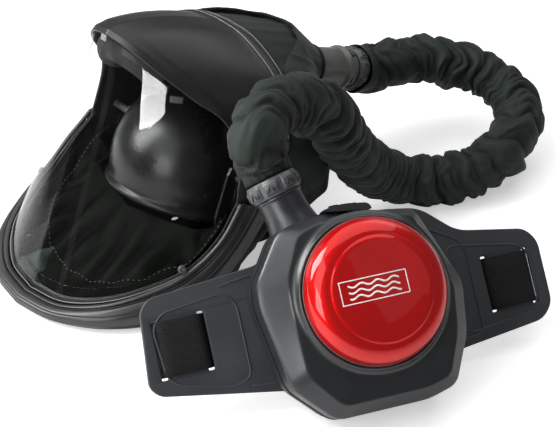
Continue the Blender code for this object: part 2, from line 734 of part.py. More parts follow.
def make_headband(head):
    origin = Vector(PIVOT_AT)
    shift = Vector((DOME_AT[0], 0, 0)) - origin
    long, wide = BAND_SIZE
    loops = []
    for grow, z in ((1, BAND_BOTTOM), (1, BAND_TOP), (-1, BAND_TOP), (-1, BAND_BOTTOM)):
        loops.append([Vector(((long + grow) * math.cos(math.tau * k / 32),
                              (wide + grow) * math.sin(math.tau * k / 32), z)) for k in range(32)])
    band = loft(loops, closed=True)
    bmesh.ops.translate(band, vec=shift, verts=band.verts)
    place("headband", band, "black_satin", head, at=origin)
    sections = []
    for k in range(13):
        angle = math.radians(-66 + 11 * k)
        corners = []
        for depth, z in ((2, BAND_BOTTOM + 1), (2, BAND_TOP - 1), (8, BAND_TOP - 2),
                         (8, BAND_BOTTOM + 2)):
            corners.append(Vector(((long - depth) * math.cos(angle),
                                   (wide - depth) * math.sin(angle), z)))
        sections.append(corners)
    pad = loft(sections)
    bmesh.ops.translate(pad, vec=shift, verts=pad.verts)
    place("sweatband", pad, "hood_fabric", head, at=origin)
    strap = []
    for k in range(13):
        angle = math.radians(15 * k)
        strap.append([Vector((x, r * 0.98 * math.cos(angle), r * math.sin(angle) - 22.0))
                      for x, r in ((-10, 68), (10, 68), (10, 66.5), (-10, 66.5))])
    cradle = loft(strap)
    bmesh.ops.translate(cradle, vec=shift, verts=cradle.verts)
    place("crown_strap", cradle, "black_satin", head, at=origin)
    rear = DOME_AT[0] - long - 1.4
    middle = (BAND_TOP + BAND_BOTTOM) / 2
    case = block((rear - 8, -28, BAND_BOTTOM), (rear, 28, BAND_TOP))
    bmesh.ops.translate(case, vec=-origin, verts=case.verts)
    place("ratchet_case", case, "black_satin", head, at=origin)
    place("ratchet_knob", disc(12, 0, 9, 20), "black_satin", head, at=(rear - 8.3, 0, middle),
          direction=(-1, 0, 0))


# ---- hose ----
def make_hose(blower, head):
    neck = blower @ Vector(NECK_AT)
    neck_way = (blower.to_3x3() @ Vector(NECK_DIRECTION)).normalized()
    rear = head @ Vector(CONNECTOR_AT)
    rear_way = (head.to_3x3() @ Vector((-1, 0, 0))).normalized()
    middle = [Vector(p) for p in HOSE_POINTS]
    start = [neck + neck_way * reach for reach in (58, 62, 66)]
    end = [rear + rear_way * reach for reach in (224, 220, 216)]
    place("air_hose", hollow_tube(spline(start + middle + end, 2), HOSE_R, HOSE_BORE_R, 8),
          "rubber", None)
    start = [neck + neck_way * reach for reach in (46, 53, 60)]
    end = [rear + rear_way * reach for reach in (221, 213, 205)]
    place("hose_sleeve", hollow_tube(spline(start + middle + end, 2), SLEEVE_R, SLEEVE_BORE_R, 12),
          "hood_fabric", None)


def frame_matrix(at, rotation):
    matrix = Matrix.Translation(Vector(at))
    for axis, angle in (("Z", rotation[2]), ("Y", rotation[1]), ("X", rotation[0])):
        matrix = matrix @ Matrix.Rotation(math.radians(angle), 4, axis)
    return matrix


def main():
    for item in list(bpy.data.objects):
        bpy.data.objects.remove(item, do_unlink=True)
    blower_turn = (90 - BLOWER_LEAN, 0, BLOWER_YAW)
    head_turn = (0, -HEAD_PITCH, HEAD_YAW)
    blower = frame_empty("blower_frame", BLOWER_AT, blower_turn)
    head = frame_empty("head_frame", HEAD_AT, head_turn)
    make_front_housing(blower)
    make_rear_housing(blower)
    make_filter_group(blower)
    make_fan_group(blower)
    make_power_group(blower)
    make_neck(blower)
    make_pad(blower)
    make_strap(blower)
    make_brow(head)
    make_visor(head)
    make_visor_seal(head)
    make_chin_frame(head)
    make_face_seal(head)
    make_hood(head)
    make_head_connector(head)
    make_air_duct(head)
    make_air_diffuser(head)
    make_headgear(head)
    make_headband(head)
    make_hose(frame_matrix(BLOWER_AT, blower_turn), frame_matrix(HEAD_AT, head_turn))


main()
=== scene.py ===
"""Looks for the powered air respirator: fine surfaces, soft goods and materials.

Points are in mm in one of two frames, as in the CAD. Blower frame: +X along the belt, +Y up the
face, +Z out of the face. Head frame: +X forward, +Y to the wearer's left, +Z up.
"""

import itertools
import json
import math

import bmesh
import bpy
import numpy as np
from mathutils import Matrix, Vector, noise


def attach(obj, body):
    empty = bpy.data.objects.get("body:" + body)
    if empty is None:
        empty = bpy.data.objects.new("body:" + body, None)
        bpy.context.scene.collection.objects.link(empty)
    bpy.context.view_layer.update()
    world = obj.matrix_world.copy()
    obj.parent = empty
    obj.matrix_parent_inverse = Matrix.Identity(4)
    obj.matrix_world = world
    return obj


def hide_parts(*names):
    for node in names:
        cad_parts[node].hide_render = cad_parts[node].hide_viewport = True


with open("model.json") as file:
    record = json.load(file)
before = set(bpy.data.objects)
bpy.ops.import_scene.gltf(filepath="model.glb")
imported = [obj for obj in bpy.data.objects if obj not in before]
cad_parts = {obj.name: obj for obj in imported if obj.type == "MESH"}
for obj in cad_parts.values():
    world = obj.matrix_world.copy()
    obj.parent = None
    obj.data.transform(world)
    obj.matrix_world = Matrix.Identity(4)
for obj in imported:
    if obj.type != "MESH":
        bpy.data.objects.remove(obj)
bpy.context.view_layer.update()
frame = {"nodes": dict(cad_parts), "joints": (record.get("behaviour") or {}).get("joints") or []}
ROOT = "respirator"
TAU = math.tau
MM = 0.001


# ---- frames ----
def lengths(vectors):
    return np.linalg.norm(vectors, axis=1)[:, None]


def unit(v):
    v = np.array(v, float)
    return v / np.linalg.norm(v)


class Place:
    """A frame in the world: origin in mm and three unit axes."""

    def __init__(self, origin, x, y, z):
        self.origin = np.array(origin, float)
        self.axes = np.array([x, y, z], float)

    def world(self, points):
        return self.origin + np.asarray(points, float) @ self.axes

    def turn(self, vector):
        return np.asarray(vector, float) @ self.axes

    def along(self, at, direction):
        """A frame at a point of this one, whose +Z runs along a direction."""
        z = unit(self.turn(direction))
        guide = self.axes[1] if abs(z @ self.axes[1]) < 0.9 else self.axes[0]
        x = unit(np.cross(guide, z))
        return Place(self.world(at), x, np.cross(z, x), z)


JOINTS = {joint["name"]: joint for joint in frame["joints"]}


def blower_frame():
    across = unit(JOINTS["battery_slide"]["axis"])
    up = -unit(JOINTS["power_press"]["axis"])
    return Place(np.array(JOINTS["cover_turn"]["pos_m"]) * 1000, across, up, np.cross(across, up))


def head_frame():
    left = unit(JOINTS["shield_tilt"]["axis"])
    forward = -unit(JOINTS["ratchet_turn"]["axis"])
    up = np.cross(forward, left)
    pivot = np.array(JOINTS["shield_tilt"]["pos_m"]) * 1000
    return Place(pivot - 32 * forward + 10 * up, forward, left, up)


WORLD = Place((0, 0, 0), (1, 0, 0), (0, 1, 0), (0, 0, 1))
BLOWER = blower_frame()
HEAD = head_frame()


# ---- curves ----
def curve(points, per_span):
    """A Catmull-Rom curve through points."""
    points = [np.array(p, float) for p in points]
    padded = [2 * points[0] - points[1]] + points + [2 * points[-1] - points[-2]]
    made = []
    for a, b, c, d in zip(padded, padded[1:], padded[2:], padded[3:]):
        for k in range(per_span):
            t = k / per_span
            made.append(0.5 * (2 * b + (c - a) * t + (2 * a - 5 * b + 4 * c - d) * t * t
                               + (3 * b - a - 3 * c + d) * t ** 3))
    made.append(points[-1])
    return np.array(made)


def resample(points, count, closed=False):
    """Evenly spaced points along a path."""
    points = np.array(points, float)
    if closed:
        points = np.vstack([points, points[:1]])
    steps = np.linalg.norm(np.diff(points, axis=0), axis=1)
    run = np.concatenate([[0], np.cumsum(steps)])
    wanted = np.linspace(0, run[-1], count + 1 if closed else count)
    made = np.stack([np.interp(wanted, run, points[:, i]) for i in range(points.shape[1])], 1)
    return made[:-1] if closed else made


def soften(points, rounds, closed=False):
    """Average each point with its neighbours a few times."""
    points = np.array(points, float)
    for _ in range(rounds):
        before = np.roll(points, 1, axis=0)
        after = np.roll(points, -1, axis=0)
        moved = (before + 2 * points + after) / 4
        if not closed:
            moved[0] = points[0]
            moved[-1] = points[-1]
        points = moved
    return points


def rounded(points, radius, steps=8):
    """Round the corners of an outline."""
    made = []
    for i, corner in enumerate(points):
        corner = np.array(corner, float)
        before = np.array(points[i - 1], float) - corner
        after = np.array(points[(i + 1) % len(points)], float) - corner
        near = np.linalg.norm(before)
        far = np.linalg.norm(after)
        reach = min(radius, near * 0.45, far * 0.45)
        start = corner + before / near * reach
        end = corner + after / far * reach
        for k in range(steps + 1):
            t = k / steps
            made.append(start * (1 - t) ** 2 + corner * 2 * t * (1 - t) + end * t ** 2)
    return np.array(made)


def path_axes(path, side=(1.0, 0.0, 0.0)):
    """Tangent, side and up directions along a path, without twist."""
    along = np.gradient(path, axis=0)
    along /= lengths(along)
    sides = np.zeros_like(path)
    side = np.array(side, float)
    for i, t in enumerate(along):
        side = side - t * (side @ t)
        side /= np.linalg.norm(side)
        sides[i] = side
    return along, sides, np.cross(along, sides)


# ---- meshes ----
def make(name, points, faces, place, uv=None):
    mesh = bpy.data.meshes.new(name)
    mesh.from_pydata((place.world(points) * MM).tolist(), [], faces)
    if uv is not None:
        layer = mesh.uv_layers.new(name="UVMap")
        layer.data.foreach_set("uv", np.array(uv, np.float32).ravel())
    mesh.shade_smooth()
    made = bpy.data.objects.new(name, mesh)
    bpy.context.scene.collection.objects.link(made)
    return made


def grid(name, rows, place, wrap=False, close=False):
    """A surface through rows of points; its UVs are lengths in mm."""
    rows = np.array(rows, float)
    high, wide = rows.shape[:2]
    ring = np.concatenate([rows, rows[:, :1]], 1) if wrap else rows
    across = np.cumsum(np.linalg.norm(np.diff(ring, axis=1), axis=2).mean(0))
    across = np.concatenate([[0], across])
    stack = np.concatenate([rows, rows[:1]], 0) if close else rows
    down = np.cumsum(np.linalg.norm(np.diff(stack, axis=0), axis=2).mean(1))
    down = np.concatenate([[0], down])
    faces = []
    uv = []
    for r in range(high if close else high - 1):
        s = (r + 1) % high
        for c in range(wide if wrap else wide - 1):
            d = (c + 1) % wide
            faces.append((r * wide + c, r * wide + d, s * wide + d, s * wide + c))
            uv += [(across[c], down[r]), (across[c + 1], down[r]),
                   (across[c + 1], down[r + 1]), (across[c], down[r + 1])]
    return make(name, rows.reshape(-1, 3), faces, place, uv)


def lathe(name, profile, place, segments=96, close=False):
    """Turn a (radius, height) profile, listed from the outside bottom upwards, about +Z."""
    angle = np.linspace(0, TAU, segments, endpoint=False)
    rows = [np.stack([r * np.cos(angle), r * np.sin(angle), np.full(segments, z)], 1)
            for r, z in profile]
    return grid(name, rows, place, wrap=True, close=close)


def bead(name, path, radius, place, count=10, closed=False):
    """A thin round cord along a path."""
    path = np.array(path, float)
    if closed:
        path = np.vstack([path, path[:1]])
    _, side, up = path_axes(path, (0.3, 0.5, 0.8))
    angle = np.linspace(0, TAU, count, endpoint=False)
    rows = [p + radius * (np.cos(angle)[:, None] * s + np.sin(angle)[:, None] * u)
            for p, s, u in zip(path, side, up)]
    cord = grid(name, rows, place, wrap=True)
    if not closed:
        mesh = cord.data
        last = (len(path) - 1) * count
        ends = [tuple(range(count))[::-1], tuple(range(last, last + count))]
        points = [tuple(v.co) for v in mesh.vertices]
        faces = [tuple(p.vertices) for p in mesh.polygons] + ends
        mesh.clear_geometry()
        mesh.from_pydata(points, [], faces)
        mesh.shade_smooth()
    return cord


def boxes(name, items, place):
    """Small blocks in one mesh. Each item is (centre, x half, y half, z half) with vectors."""
    points = []
    faces = []
    for centre, x, y, z in items:
        start = len(points)
        centre, x, y, z = (np.array(v, float) for v in (centre, x, y, z))
        for a, b, c in itertools.product((-1, 1), repeat=3):
            points.append(centre + a * x + b * y + c * z)
        for face in ((0, 1, 3, 2), (4, 6, 7, 5), (0, 4, 5, 1), (2, 3, 7, 6), (0, 2, 6, 4),
                     (1, 5, 7, 3)):
            faces.append(tuple(start + i for i in face))
    return make(name, np.array(points), faces, place)


def thicken(piece, depth):
    """Give a sheet its wall, towards its inside."""
    wall = piece.modifiers.new("wall", "SOLIDIFY")
    wall.thickness = depth * MM
    wall.offset = -1
    return piece


def subdivide(piece, levels=1):
    step = piece.modifiers.new("smooth", "SUBSURF")
    step.levels = levels
    step.render_levels = levels
    return piece


def soft_edges(piece, width, angle=35, segments=3):
    step = piece.modifiers.new("edges", "BEVEL")
    step.width = width * MM
    step.segments = segments
    step.limit_method = "ANGLE"
    step.angle_limit = math.radians(angle)
    return piece


def put(piece, finish, body=ROOT, stands_for=()):
    """Give a piece its material, its body and the CAD nodes it stands for."""
    piece.data.materials.clear()
    piece.data.materials.append(finish)
    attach(piece, body)
    if stands_for:
        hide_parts(*stands_for)
    return piece


# ---- materials ----
class Nodes:
    """Short calls for building one material's node tree."""

    def __init__(self, name):
        self.material = bpy.data.materials.new(name)
        self.material.use_nodes = True
        self.tree = self.material.node_tree
        self.shader = self.tree.nodes["Principled BSDF"]
        self.output = self.tree.nodes["Material Output"]

    def link(self, source, target):
        self.tree.links.new(source, target)

    def feed(self, socket, value):
        if isinstance(value, bpy.types.NodeSocket):
            self.link(value, socket)
        else:
            socket.default_value = value

    def node(self, kind, **settings):
        made = self.tree.nodes.new(kind)
        for key, value in settings.items():
            setattr(made, key, value)
        return made

    def coords(self, output="Object"):
        return self.node("ShaderNodeTexCoord").outputs[output]

    def noise(self, scale, detail=2.0, rough=0.5, vector=None):
        made = self.node("ShaderNodeTexNoise")
        self.link(vector or self.coords(), made.inputs["Vector"])
        made.inputs["Scale"].default_value = scale
        made.inputs["Detail"].default_value = detail
        made.inputs["Roughness"].default_value = rough
        return made.outputs["Fac"]

    def math(self, operation, a, b=0.0):
        made = self.node("ShaderNodeMath", operation=operation)
        self.feed(made.inputs[0], a)
        self.feed(made.inputs[1], b)
        return made.outputs[0]

    def span(self, value, low, high, new_low, new_high):
        made = self.node("ShaderNodeMapRange")
        for key, item in zip(("Value", "From Min", "From Max", "To Min", "To Max"),
                             (value, low, high, new_low, new_high)):
            self.feed(made.inputs[key], item)
        return made.outputs["Result"]

    def mix(self, factor, a, b):
        made = self.node("ShaderNodeMix", data_type="RGBA")
        self.feed(made.inputs["Factor"], factor)
        self.feed(made.inputs["A"], (*a, 1.0) if isinstance(a, tuple) and len(a) == 3 else a)
        self.feed(made.inputs["B"], (*b, 1.0) if isinstance(b, tuple) and len(b) == 3 else b)
        return made.outputs["Result"]

    def bump(self, height, distance_mm, before=None, strength=1.0):
        made = self.node("ShaderNodeBump")
        self.link(height, made.inputs["Height"])
        made.inputs["Distance"].default_value = distance_mm * MM
        made.inputs["Strength"].default_value = strength
        if before is not None:
            self.link(before, made.inputs["Normal"])
        return made.outputs["Normal"]

    def set(self, **values):
        for key, value in values.items():
            self.feed(self.shader.inputs[key.replace("_", " ")], value)
        return self.material


def shades(colour, vary):
    return (tuple(c * (1 - vary) for c in colour), tuple(min(c * (1 + vary), 1) for c in colour))


def moulded(name, colour, rough, grain=0.8, depth=0.03, vary=0.18, metallic=0.0, coat=0.0,
            specular=0.5):
    """Moulded plastic, rubber or metal: fine grain, soft blotches and faint handling scuffs."""
    n = Nodes(name)
    fine = n.noise(1000 / grain, 2.0)
    cloud = n.noise(22, 3.0, 0.55)
    scuff = n.span(n.noise(160, 5.0, 0.7), 0.56, 0.74, 0.0, 1.0)
    dark, light = shades(colour, vary)
    base = n.mix(n.span(cloud, 0.3, 0.7, 0.0, 1.0), dark, light)
    base = n.mix(n.math("MULTIPLY", scuff, 0.22), base, tuple(c * 1.5 + 0.01 for c in colour))
    roughness = n.math("ADD", n.span(cloud, 0.3, 0.7, rough - 0.05, rough + 0.05),
                       n.math("MULTIPLY", n.math("SUBTRACT", fine, 0.5), 0.14))
    n.set(Base_Color=base, Roughness=roughness, Metallic=metallic, Coat_Weight=coat,
          Coat_Roughness=0.05, Specular_IOR_Level=specular, Normal=n.bump(fine, depth))
    return n.material


def mark_fold_shading(piece, heights, reach):
    """Store how far each point of a grid stands above (+) or below (-) its surroundings; the
    cloth finishes use it to paint shade into the low places and highlight onto the high ones.
    """
    low = heights
    for _ in range(14):
        low = (np.roll(low, 1, 0) + np.roll(low, -1, 0) + np.roll(low, 1, 1)
               + np.roll(low, -1, 1) + 2 * low) / 6
    layer = piece.data.attributes.new("fold", "FLOAT", "POINT")
    share = np.clip((heights - low) / reach, -1, 1).astype(np.float32)
    layer.data.foreach_set("value", share.ravel())


def woven(name, colour, pitch=0.9, depth=0.07, crinkle=0.4, vary=0.3, sheen=0.05,
          specular=0.32):
    """Plain-weave cloth: threads from the UVs in mm, with fine crinkles; painted shade between
    the threads, painted shade in the hollows of the folds and painted highlight on their crests.
    """
    n = Nodes(name)
    uv = n.node("ShaderNodeSeparateXYZ")
    n.link(n.coords("UV"), uv.inputs[0])
    u = n.math("SINE", n.math("MULTIPLY", uv.outputs[0], TAU / pitch))
    v = n.math("SINE", n.math("MULTIPLY", uv.outputs[1], TAU / pitch))
    threads = n.math("MULTIPLY", u, v)
    fold = n.noise(95, 5.0, 0.6)
    cloud = n.noise(30, 3.0)
    dark, light = shades(colour, vary)
    base = n.mix(n.span(cloud, 0.3, 0.7, 0.0, 1.0), dark, light)
    # Painted shade: the weave's valleys darker and its raised threads lighter.
    base = n.mix(n.span(threads, -1.0, 1.0, 0.0, 0.35), base, tuple(c * 1.8 for c in colour))
    # Painted shade and highlight: cloth darkened in the hollows of its folds and lightened on
    # their crests, from the stored fold heights.
    fold_shade = n.node("ShaderNodeAttribute", attribute_name="fold").outputs["Fac"]
    base = n.mix(n.span(fold_shade, 0.0, -1.0, 0.0, 0.85), base, tuple(c * 0.12 for c in colour))
    base = n.mix(n.span(fold_shade, 0.0, 1.0, 0.0, 0.5), base, tuple(c * 2.6 for c in colour))
    normal = n.bump(threads, depth, n.bump(fold, crinkle))
    n.set(Base_Color=base, Roughness=n.span(threads, -1.0, 1.0, 0.66, 0.50), Sheen_Weight=sheen,
          Sheen_Roughness=0.4, Specular_IOR_Level=specular, Normal=normal)
    return n.material


def webbing_finish():
    """Belt webbing with diagonal ribs and a fine cross thread; shade painted into the grooves
    between the ribs.
    """
    n = Nodes("belt_webbing")
    uv = n.node("ShaderNodeSeparateXYZ")
    n.link(n.coords("UV"), uv.inputs[0])
    slant = n.math("ADD", uv.outputs[0], n.math("MULTIPLY", uv.outputs[1], 0.55))
    rib = n.math("SINE", n.math("MULTIPLY", slant, TAU / 2.3))
    thread = n.math("SINE", n.math("MULTIPLY", uv.outputs[1], TAU / 0.8))
    height = n.math("ADD", rib, n.math("MULTIPLY", thread, 0.35))
    # Painted shade: the grooves between the ribs darker and the rib crests lighter.
    base = n.mix(n.span(rib, -0.8, 1.0, 0.0, 1.0), (0.002, 0.002, 0.002), (0.022, 0.022, 0.022))
    n.set(Base_Color=base, Roughness=n.span(rib, -1.0, 1.0, 0.9, 0.6), Specular_IOR_Level=0.2,
          Normal=n.bump(height, 0.28))
    return n.material


def cover_finish():
    """Glossy metallic red: fine flakes under a clear coat."""
    n = Nodes("cover_red")
    flake = n.noise(2600, 1.0)
    cloud = n.noise(16, 2.0)
    base = n.mix(n.span(cloud, 0.3, 0.7, 0.0, 1.0), (0.54, 0.0025, 0.0025), (0.68, 0.004, 0.004))
    base = n.mix(n.span(flake, 0.55, 0.75, 0.0, 0.3), base, (0.80, 0.01, 0.01))
    ripple = n.bump(n.noise(48, 2.0), 0.05)
    n.set(Base_Color=base, Metallic=0.6, Roughness=n.span(flake, 0.3, 0.7, 0.28, 0.40),
          Specular_IOR_Level=0.0, Coat_Weight=0.9, Coat_Roughness=0.02,
          Normal=n.bump(flake, 0.004, ripple))
    return n.material


def visor_finish(name, tint, most):
    """Clear sheet: light passes straight through, with a sharp reflection on its outer skin."""
    n = Nodes(name)
    smear = n.noise(14, 3.0, 0.6)
    clear = n.node("ShaderNodeBsdfTransparent")
    clear.inputs[0].default_value = (*tint, 1.0)
    skin = n.node("ShaderNodeBsdfGlossy")
    n.feed(skin.inputs["Color"], (1.0, 1.0, 1.0, 1.0))
    n.feed(skin.inputs["Roughness"], n.span(smear, 0.4, 0.7, 0.01, 0.045))
    n.feed(skin.inputs["Normal"], n.bump(n.noise(8, 1.0), 0.08))
    weight = n.node("ShaderNodeLayerWeight")
    weight.inputs["Blend"].default_value = 0.2
    front = n.math("SUBTRACT", 1.0, n.node("ShaderNodeNewGeometry").outputs["Backfacing"])
    share = n.math("MINIMUM", n.math("ADD", weight.outputs["Fresnel"],
                                     n.span(smear, 0.5, 0.8, 0.0, 0.02)), most)
    blend = n.node("ShaderNodeMixShader")
    n.feed(blend.inputs[0], n.math("MULTIPLY", share, front))
    n.link(clear.outputs[0], blend.inputs[1])
    n.link(skin.outputs[0], blend.inputs[2])
    n.link(blend.outputs[0], n.output.inputs["Surface"])
    return n.material


SATIN = moulded("satin_black", (0.011, 0.0105, 0.0100), 0.38, 0.7, 0.02, specular=0.38)
TUBE = moulded("tube_satin", (0.10, 0.10, 0.095), 0.32, 0.7, 0.02, specular=0.6)
GLOSS = moulded("gloss_black", (0.005, 0.005, 0.005), 0.31, 1.5, 0.003, 0.1, coat=0.05,
                specular=0.35)
FITTING = moulded("fitting_black", (0.056, 0.059, 0.063), 0.34, 0.6, 0.03, specular=0.6)
CHARCOAL = moulded("charcoal", (0.0125, 0.0142, 0.0165), 0.32, 0.55, 0.03, specular=0.62)
FRAME = moulded("frame_satin", (0.021, 0.021, 0.021), 0.36, 0.8, 0.02)
FOAM = moulded("pad_foam", (0.032, 0.036, 0.041), 0.50, 0.35, 0.05, 0.12, specular=0.4)
DIFFUSER = moulded("diffuser_foam", (0.020, 0.020, 0.020), 0.8, 2.2, 0.25, 0.4, specular=0.2)
RUBBER = moulded("rubber", (0.010, 0.010, 0.010), 0.62, 0.5, 0.03, specular=0.3)
LIGHT_CORD = moulded("light_cord", (0.16, 0.16, 0.155), 0.4, 0.6, 0.02)
TAB = moulded("light_tab", (0.05, 0.05, 0.05), 0.5, 0.6, 0.02)
STEEL = moulded("steel", (0.58, 0.58, 0.60), 0.28, 0.4, 0.01, 0.06, metallic=1.0)
BOARD = moulded("board", (0.015, 0.13, 0.05), 0.45, 0.8, 0.05)
WHITE = moulded("white_print", (0.85, 0.82, 0.80), 0.35, 0.5, 0.004, 0.03)
RED = cover_finish()
HOOD = woven("hood_fabric", (0.0082, 0.0130, 0.0102), sheen=0.03, specular=0.26)
LINING = woven("lining_fabric", (0.0022, 0.0028, 0.0020), 5.0, 0.004, 0.04, 0.3, 0.0, 0.03)
SOFT = woven("brow_pad", (0.012, 0.012, 0.013), 1.0, 0.12, 0.4)
MEDIA = woven("filter_media", (0.62, 0.61, 0.57), 0.6, 0.05, 0.3, 0.1)
THREAD = woven("thread", (0.06, 0.065, 0.055), 0.5, 0.05, 0.1)
WEBBING = webbing_finish()
VISOR = visor_finish("clear_visor", (0.975, 0.98, 0.98), 0.45)
BORDER = visor_finish("visor_border", (0.60, 0.61, 0.60), 0.3)


# ---- blower ----
HOUSING_OUTLINE = [(60, 66), (-34, 78), (-70, 70), (-99, 28), (-101, 8), (-88, -68),
                   (-54, -103), (34, -104), (63, -97), (84, -54), (91, -8)]
FACE_OUTLINE = [(52, 61), (-31, 70), (-56, 62), (-74, 27), (-76, 4), (-74, -58),
                (-48, -92), (30, -93), (54, -88), (70, -51), (77, -8)]
MIDDLE = np.array([-5.0, -15.0])
NECK_AT = (-48, 77, -32)
NECK_DIRECTION = (-0.25, 0.968, 0)


def dense(outline):
    """An outline with extra points between its own, in step with its partner outline."""
    points = rounded(outline, 9.0, 6)
    following = np.roll(points, -1, axis=0)
    return np.concatenate([np.stack([points, (2 * points + following) / 3,
                                     (points + 2 * following) / 3], 1).reshape(-1, 2)])


def pull(outline, distance):
    """Move an outline towards the middle of the housing."""
    inward = MIDDLE - outline
    return outline + inward / lengths(inward) * distance


def level(outline, z):
    """An outline as points at one height."""
    return np.column_stack([outline, np.full(len(outline), z)])


def make_front_housing():
    outer = dense(HOUSING_OUTLINE)
    face = dense(FACE_OUTLINE)
    rows = [level(pull(outer, 3), -29.7), level(pull(outer, 0.5), -29.7), level(outer, -29.2),
            level(outer, -20), level(outer, -10.5), level(pull(outer, 0.4), -9.0)]
    for share in (0.06, 0.35, 0.65, 0.92, 1.0):
        rows.append(level(outer + (face - outer) * share, -8.6 + 11.4 * share))
    angle = np.arctan2(face[:, 1], face[:, 0])
    ray = np.column_stack([np.cos(angle), np.sin(angle)])
    rows.append(level(face * 0.75 + ray * 74 * 0.25, 3.2))
    for radius, z in ((75.2, 3.5), (73.2, 4.1), (71.4, 5.3), (70.0, 7.1), (69.0, 8.6),
                      (67.9, 9.3), (66.9, 9.1), (66.3, 8.2), (66.1, 5.0), (66.0, -2.0)):
        rows.append(level(ray * radius, z))
    shell = subdivide(grid("housing_front", rows, BLOWER, wrap=True))
    put(shell, CHARCOAL, stands_for=("front_housing", "cover_collar"))
    seam = level(pull(outer, -0.2), -29.9)
    put(bead("housing_seam", resample(seam, 220, True), 0.45, BLOWER, 8, True), RUBBER)


def make_cover():
    profile = [(60, 7.2), (64.4, 7.2), (65.4, 8.0), (65.7, 10.5), (65.2, 14.5), (63.6, 19.5),
               (60.8, 23.6), (57.0, 26.9), (52.8, 29.0), (50.0, 29.8), (47.6, 30.3),
               (45.6, 31.3), (43.0, 31.9), (40.0, 32.2), (32, 32.9), (20, 33.5), (9, 33.8),
               (0.01, 33.9)]
    cover = lathe("filter_cover_fine", curve(profile, 4), BLOWER, 160)
    put(thicken(cover, 2.0), RED, "cover", ("filter_cover",))
    rim = [(65.5 * math.cos(a), 65.5 * math.sin(a), 9.0) for a in np.linspace(0, TAU, 160)[:-1]]
    put(bead("cover_rim_line", rim, 0.5, BLOWER, 8, True), LIGHT_CORD, "cover")
    marks = []

    def bar(x, y, half_x, half_y):
        x, y = x - 8.0, y + 0.5
        reach = math.hypot(x, y)
        marks.append(((x, y, 33.85 - 1.75 * (reach / 41) ** 2.2), (half_x, 0, 0),
                      (0, half_y, 0), (0, 0, 0.12)))

    for k in range(-15, 16):
        bar(k * 2.0, 12.5, 1.05, 0.45)
        bar(k * 2.0, -7.5, 1.05, 0.45)
    for k in range(-5, 6):
        bar(-30.8, 2.5 + k * 1.9, 0.45, 1.0)
        bar(30.8, 2.5 + k * 1.9, 0.45, 1.0)
    for row, y in enumerate((7.6, 2.6, -2.4)):
        for k in range(-22, 23):
            x = k * 1.05
            wave = 1.3 * math.sin(x * TAU / 15 + row * 0.6)
            bar(x, y + wave, 0.62, 0.75)
    put(boxes("cover_airflow_mark", marks, BLOWER), WHITE, "cover")


def make_neck():
    along = BLOWER.along(NECK_AT, NECK_DIRECTION)
    profile = [(27.5, -13), (25.5, -9), (23.8, -5), (22.6, 0), (21.6, 5), (21.0, 10), (20.8, 18),
               (20.8, 23.5), (21.6, 24.0), (21.6, 26.4), (20.4, 26.8), (20.4, 33), (17.6, 33),
               (17.6, 0)]
    neck = lathe("outlet_neck_fine", curve(profile, 3), along, 96)
    put(neck, CHARCOAL, stands_for=("outlet_neck",))
    locking_ring("blower_ring_fine", along, 35, "blower_ring", "blower_locking_ring")
    hose_cuff("blower_cuff", 42.5, 54, along, "hose_cuff_blower")


def hose_cuff(name, start, end, place, node):
    """The rubber end of the hose, on a fitting whose axis is +Z of place."""
    profile = [(20.2, start), (20.2, end - 1), (19.4, end), (15, end), (15, start)]
    put(lathe(name, profile, place, 64, close=True), RUBBER,
        stands_for=(node,))


def locking_ring(name, along, middle, body, node):
    """Bayonet ring: raised grip pads with notches between, and plain arrow marks."""
    segments = 240
    angle = np.linspace(0, TAU, segments, endpoint=False)
    pads = 8
    turn = (angle * pads / TAU) % 1.0
    pad = np.clip(np.minimum((turn - 0.10) / 0.05, (0.90 - turn) / 0.05), 0, 1)
    pad = pad * pad * (3 - 2 * pad)
    rows = []
    for z, radius, lift in ((-8.2, 21.0, 0), (-8.2, 22.4, 0), (-7.8, 23.0, 0), (-6.2, 23.1, 0),
                            (-5.6, 23.2, 0.3), (-5.0, 23.2, 1.0), (3.8, 23.3, 1.0),
                            (4.4, 23.3, 0.8), (5.2, 23.1, 0.5), (7.6, 22.9, 0.5),
                            (8.2, 22.3, 0.2), (8.2, 20.9, 0)):
        r = radius + lift * 1.9 * pad
        rows.append(np.stack([r * np.cos(angle), r * np.sin(angle),
                              np.full(segments, middle + z)], 1))
    ring = grid(name, rows, along, wrap=True, close=True)
    put(ring, FITTING, body, (node,))
    marks = []
    for k in range(pads):
        centre = TAU * (k + 0.5) / pads
        for shift, tilt in ((-0.12, 0.5), (0.02, -0.5), (0.19, 0.0)):
            a = centre + shift
            out = np.array([math.cos(a), math.sin(a), 0])
            side = np.array([-math.sin(a), math.cos(a), 0])
            up = np.array([0, 0, 1.0])
            lean = unit(up * math.cos(tilt) + side * math.sin(tilt))
            flat = np.cross(out, lean)
            marks.append((out * 25.25 + up * (middle - 0.6), flat * 0.7, lean * 3.6, out * 0.5))
    put(boxes(name + "_marks", marks, along), CHARCOAL, body)


PAD_OUTLINE = [(200, 14), (190, 27), (121, 39), (88, 68), (50, 74), (-50, 74), (-76, 47),
               (-185, 37), (-194, 28), (-200, -40), (-192, -49), (-78, -70), (-50, -76),
               (60, -76), (100, -70), (188, -60), (200, -47)]
WEBBING_MIDDLE = {-1: -9.5, 1: -17.0}
SLOTS = (140.5, 184.0)


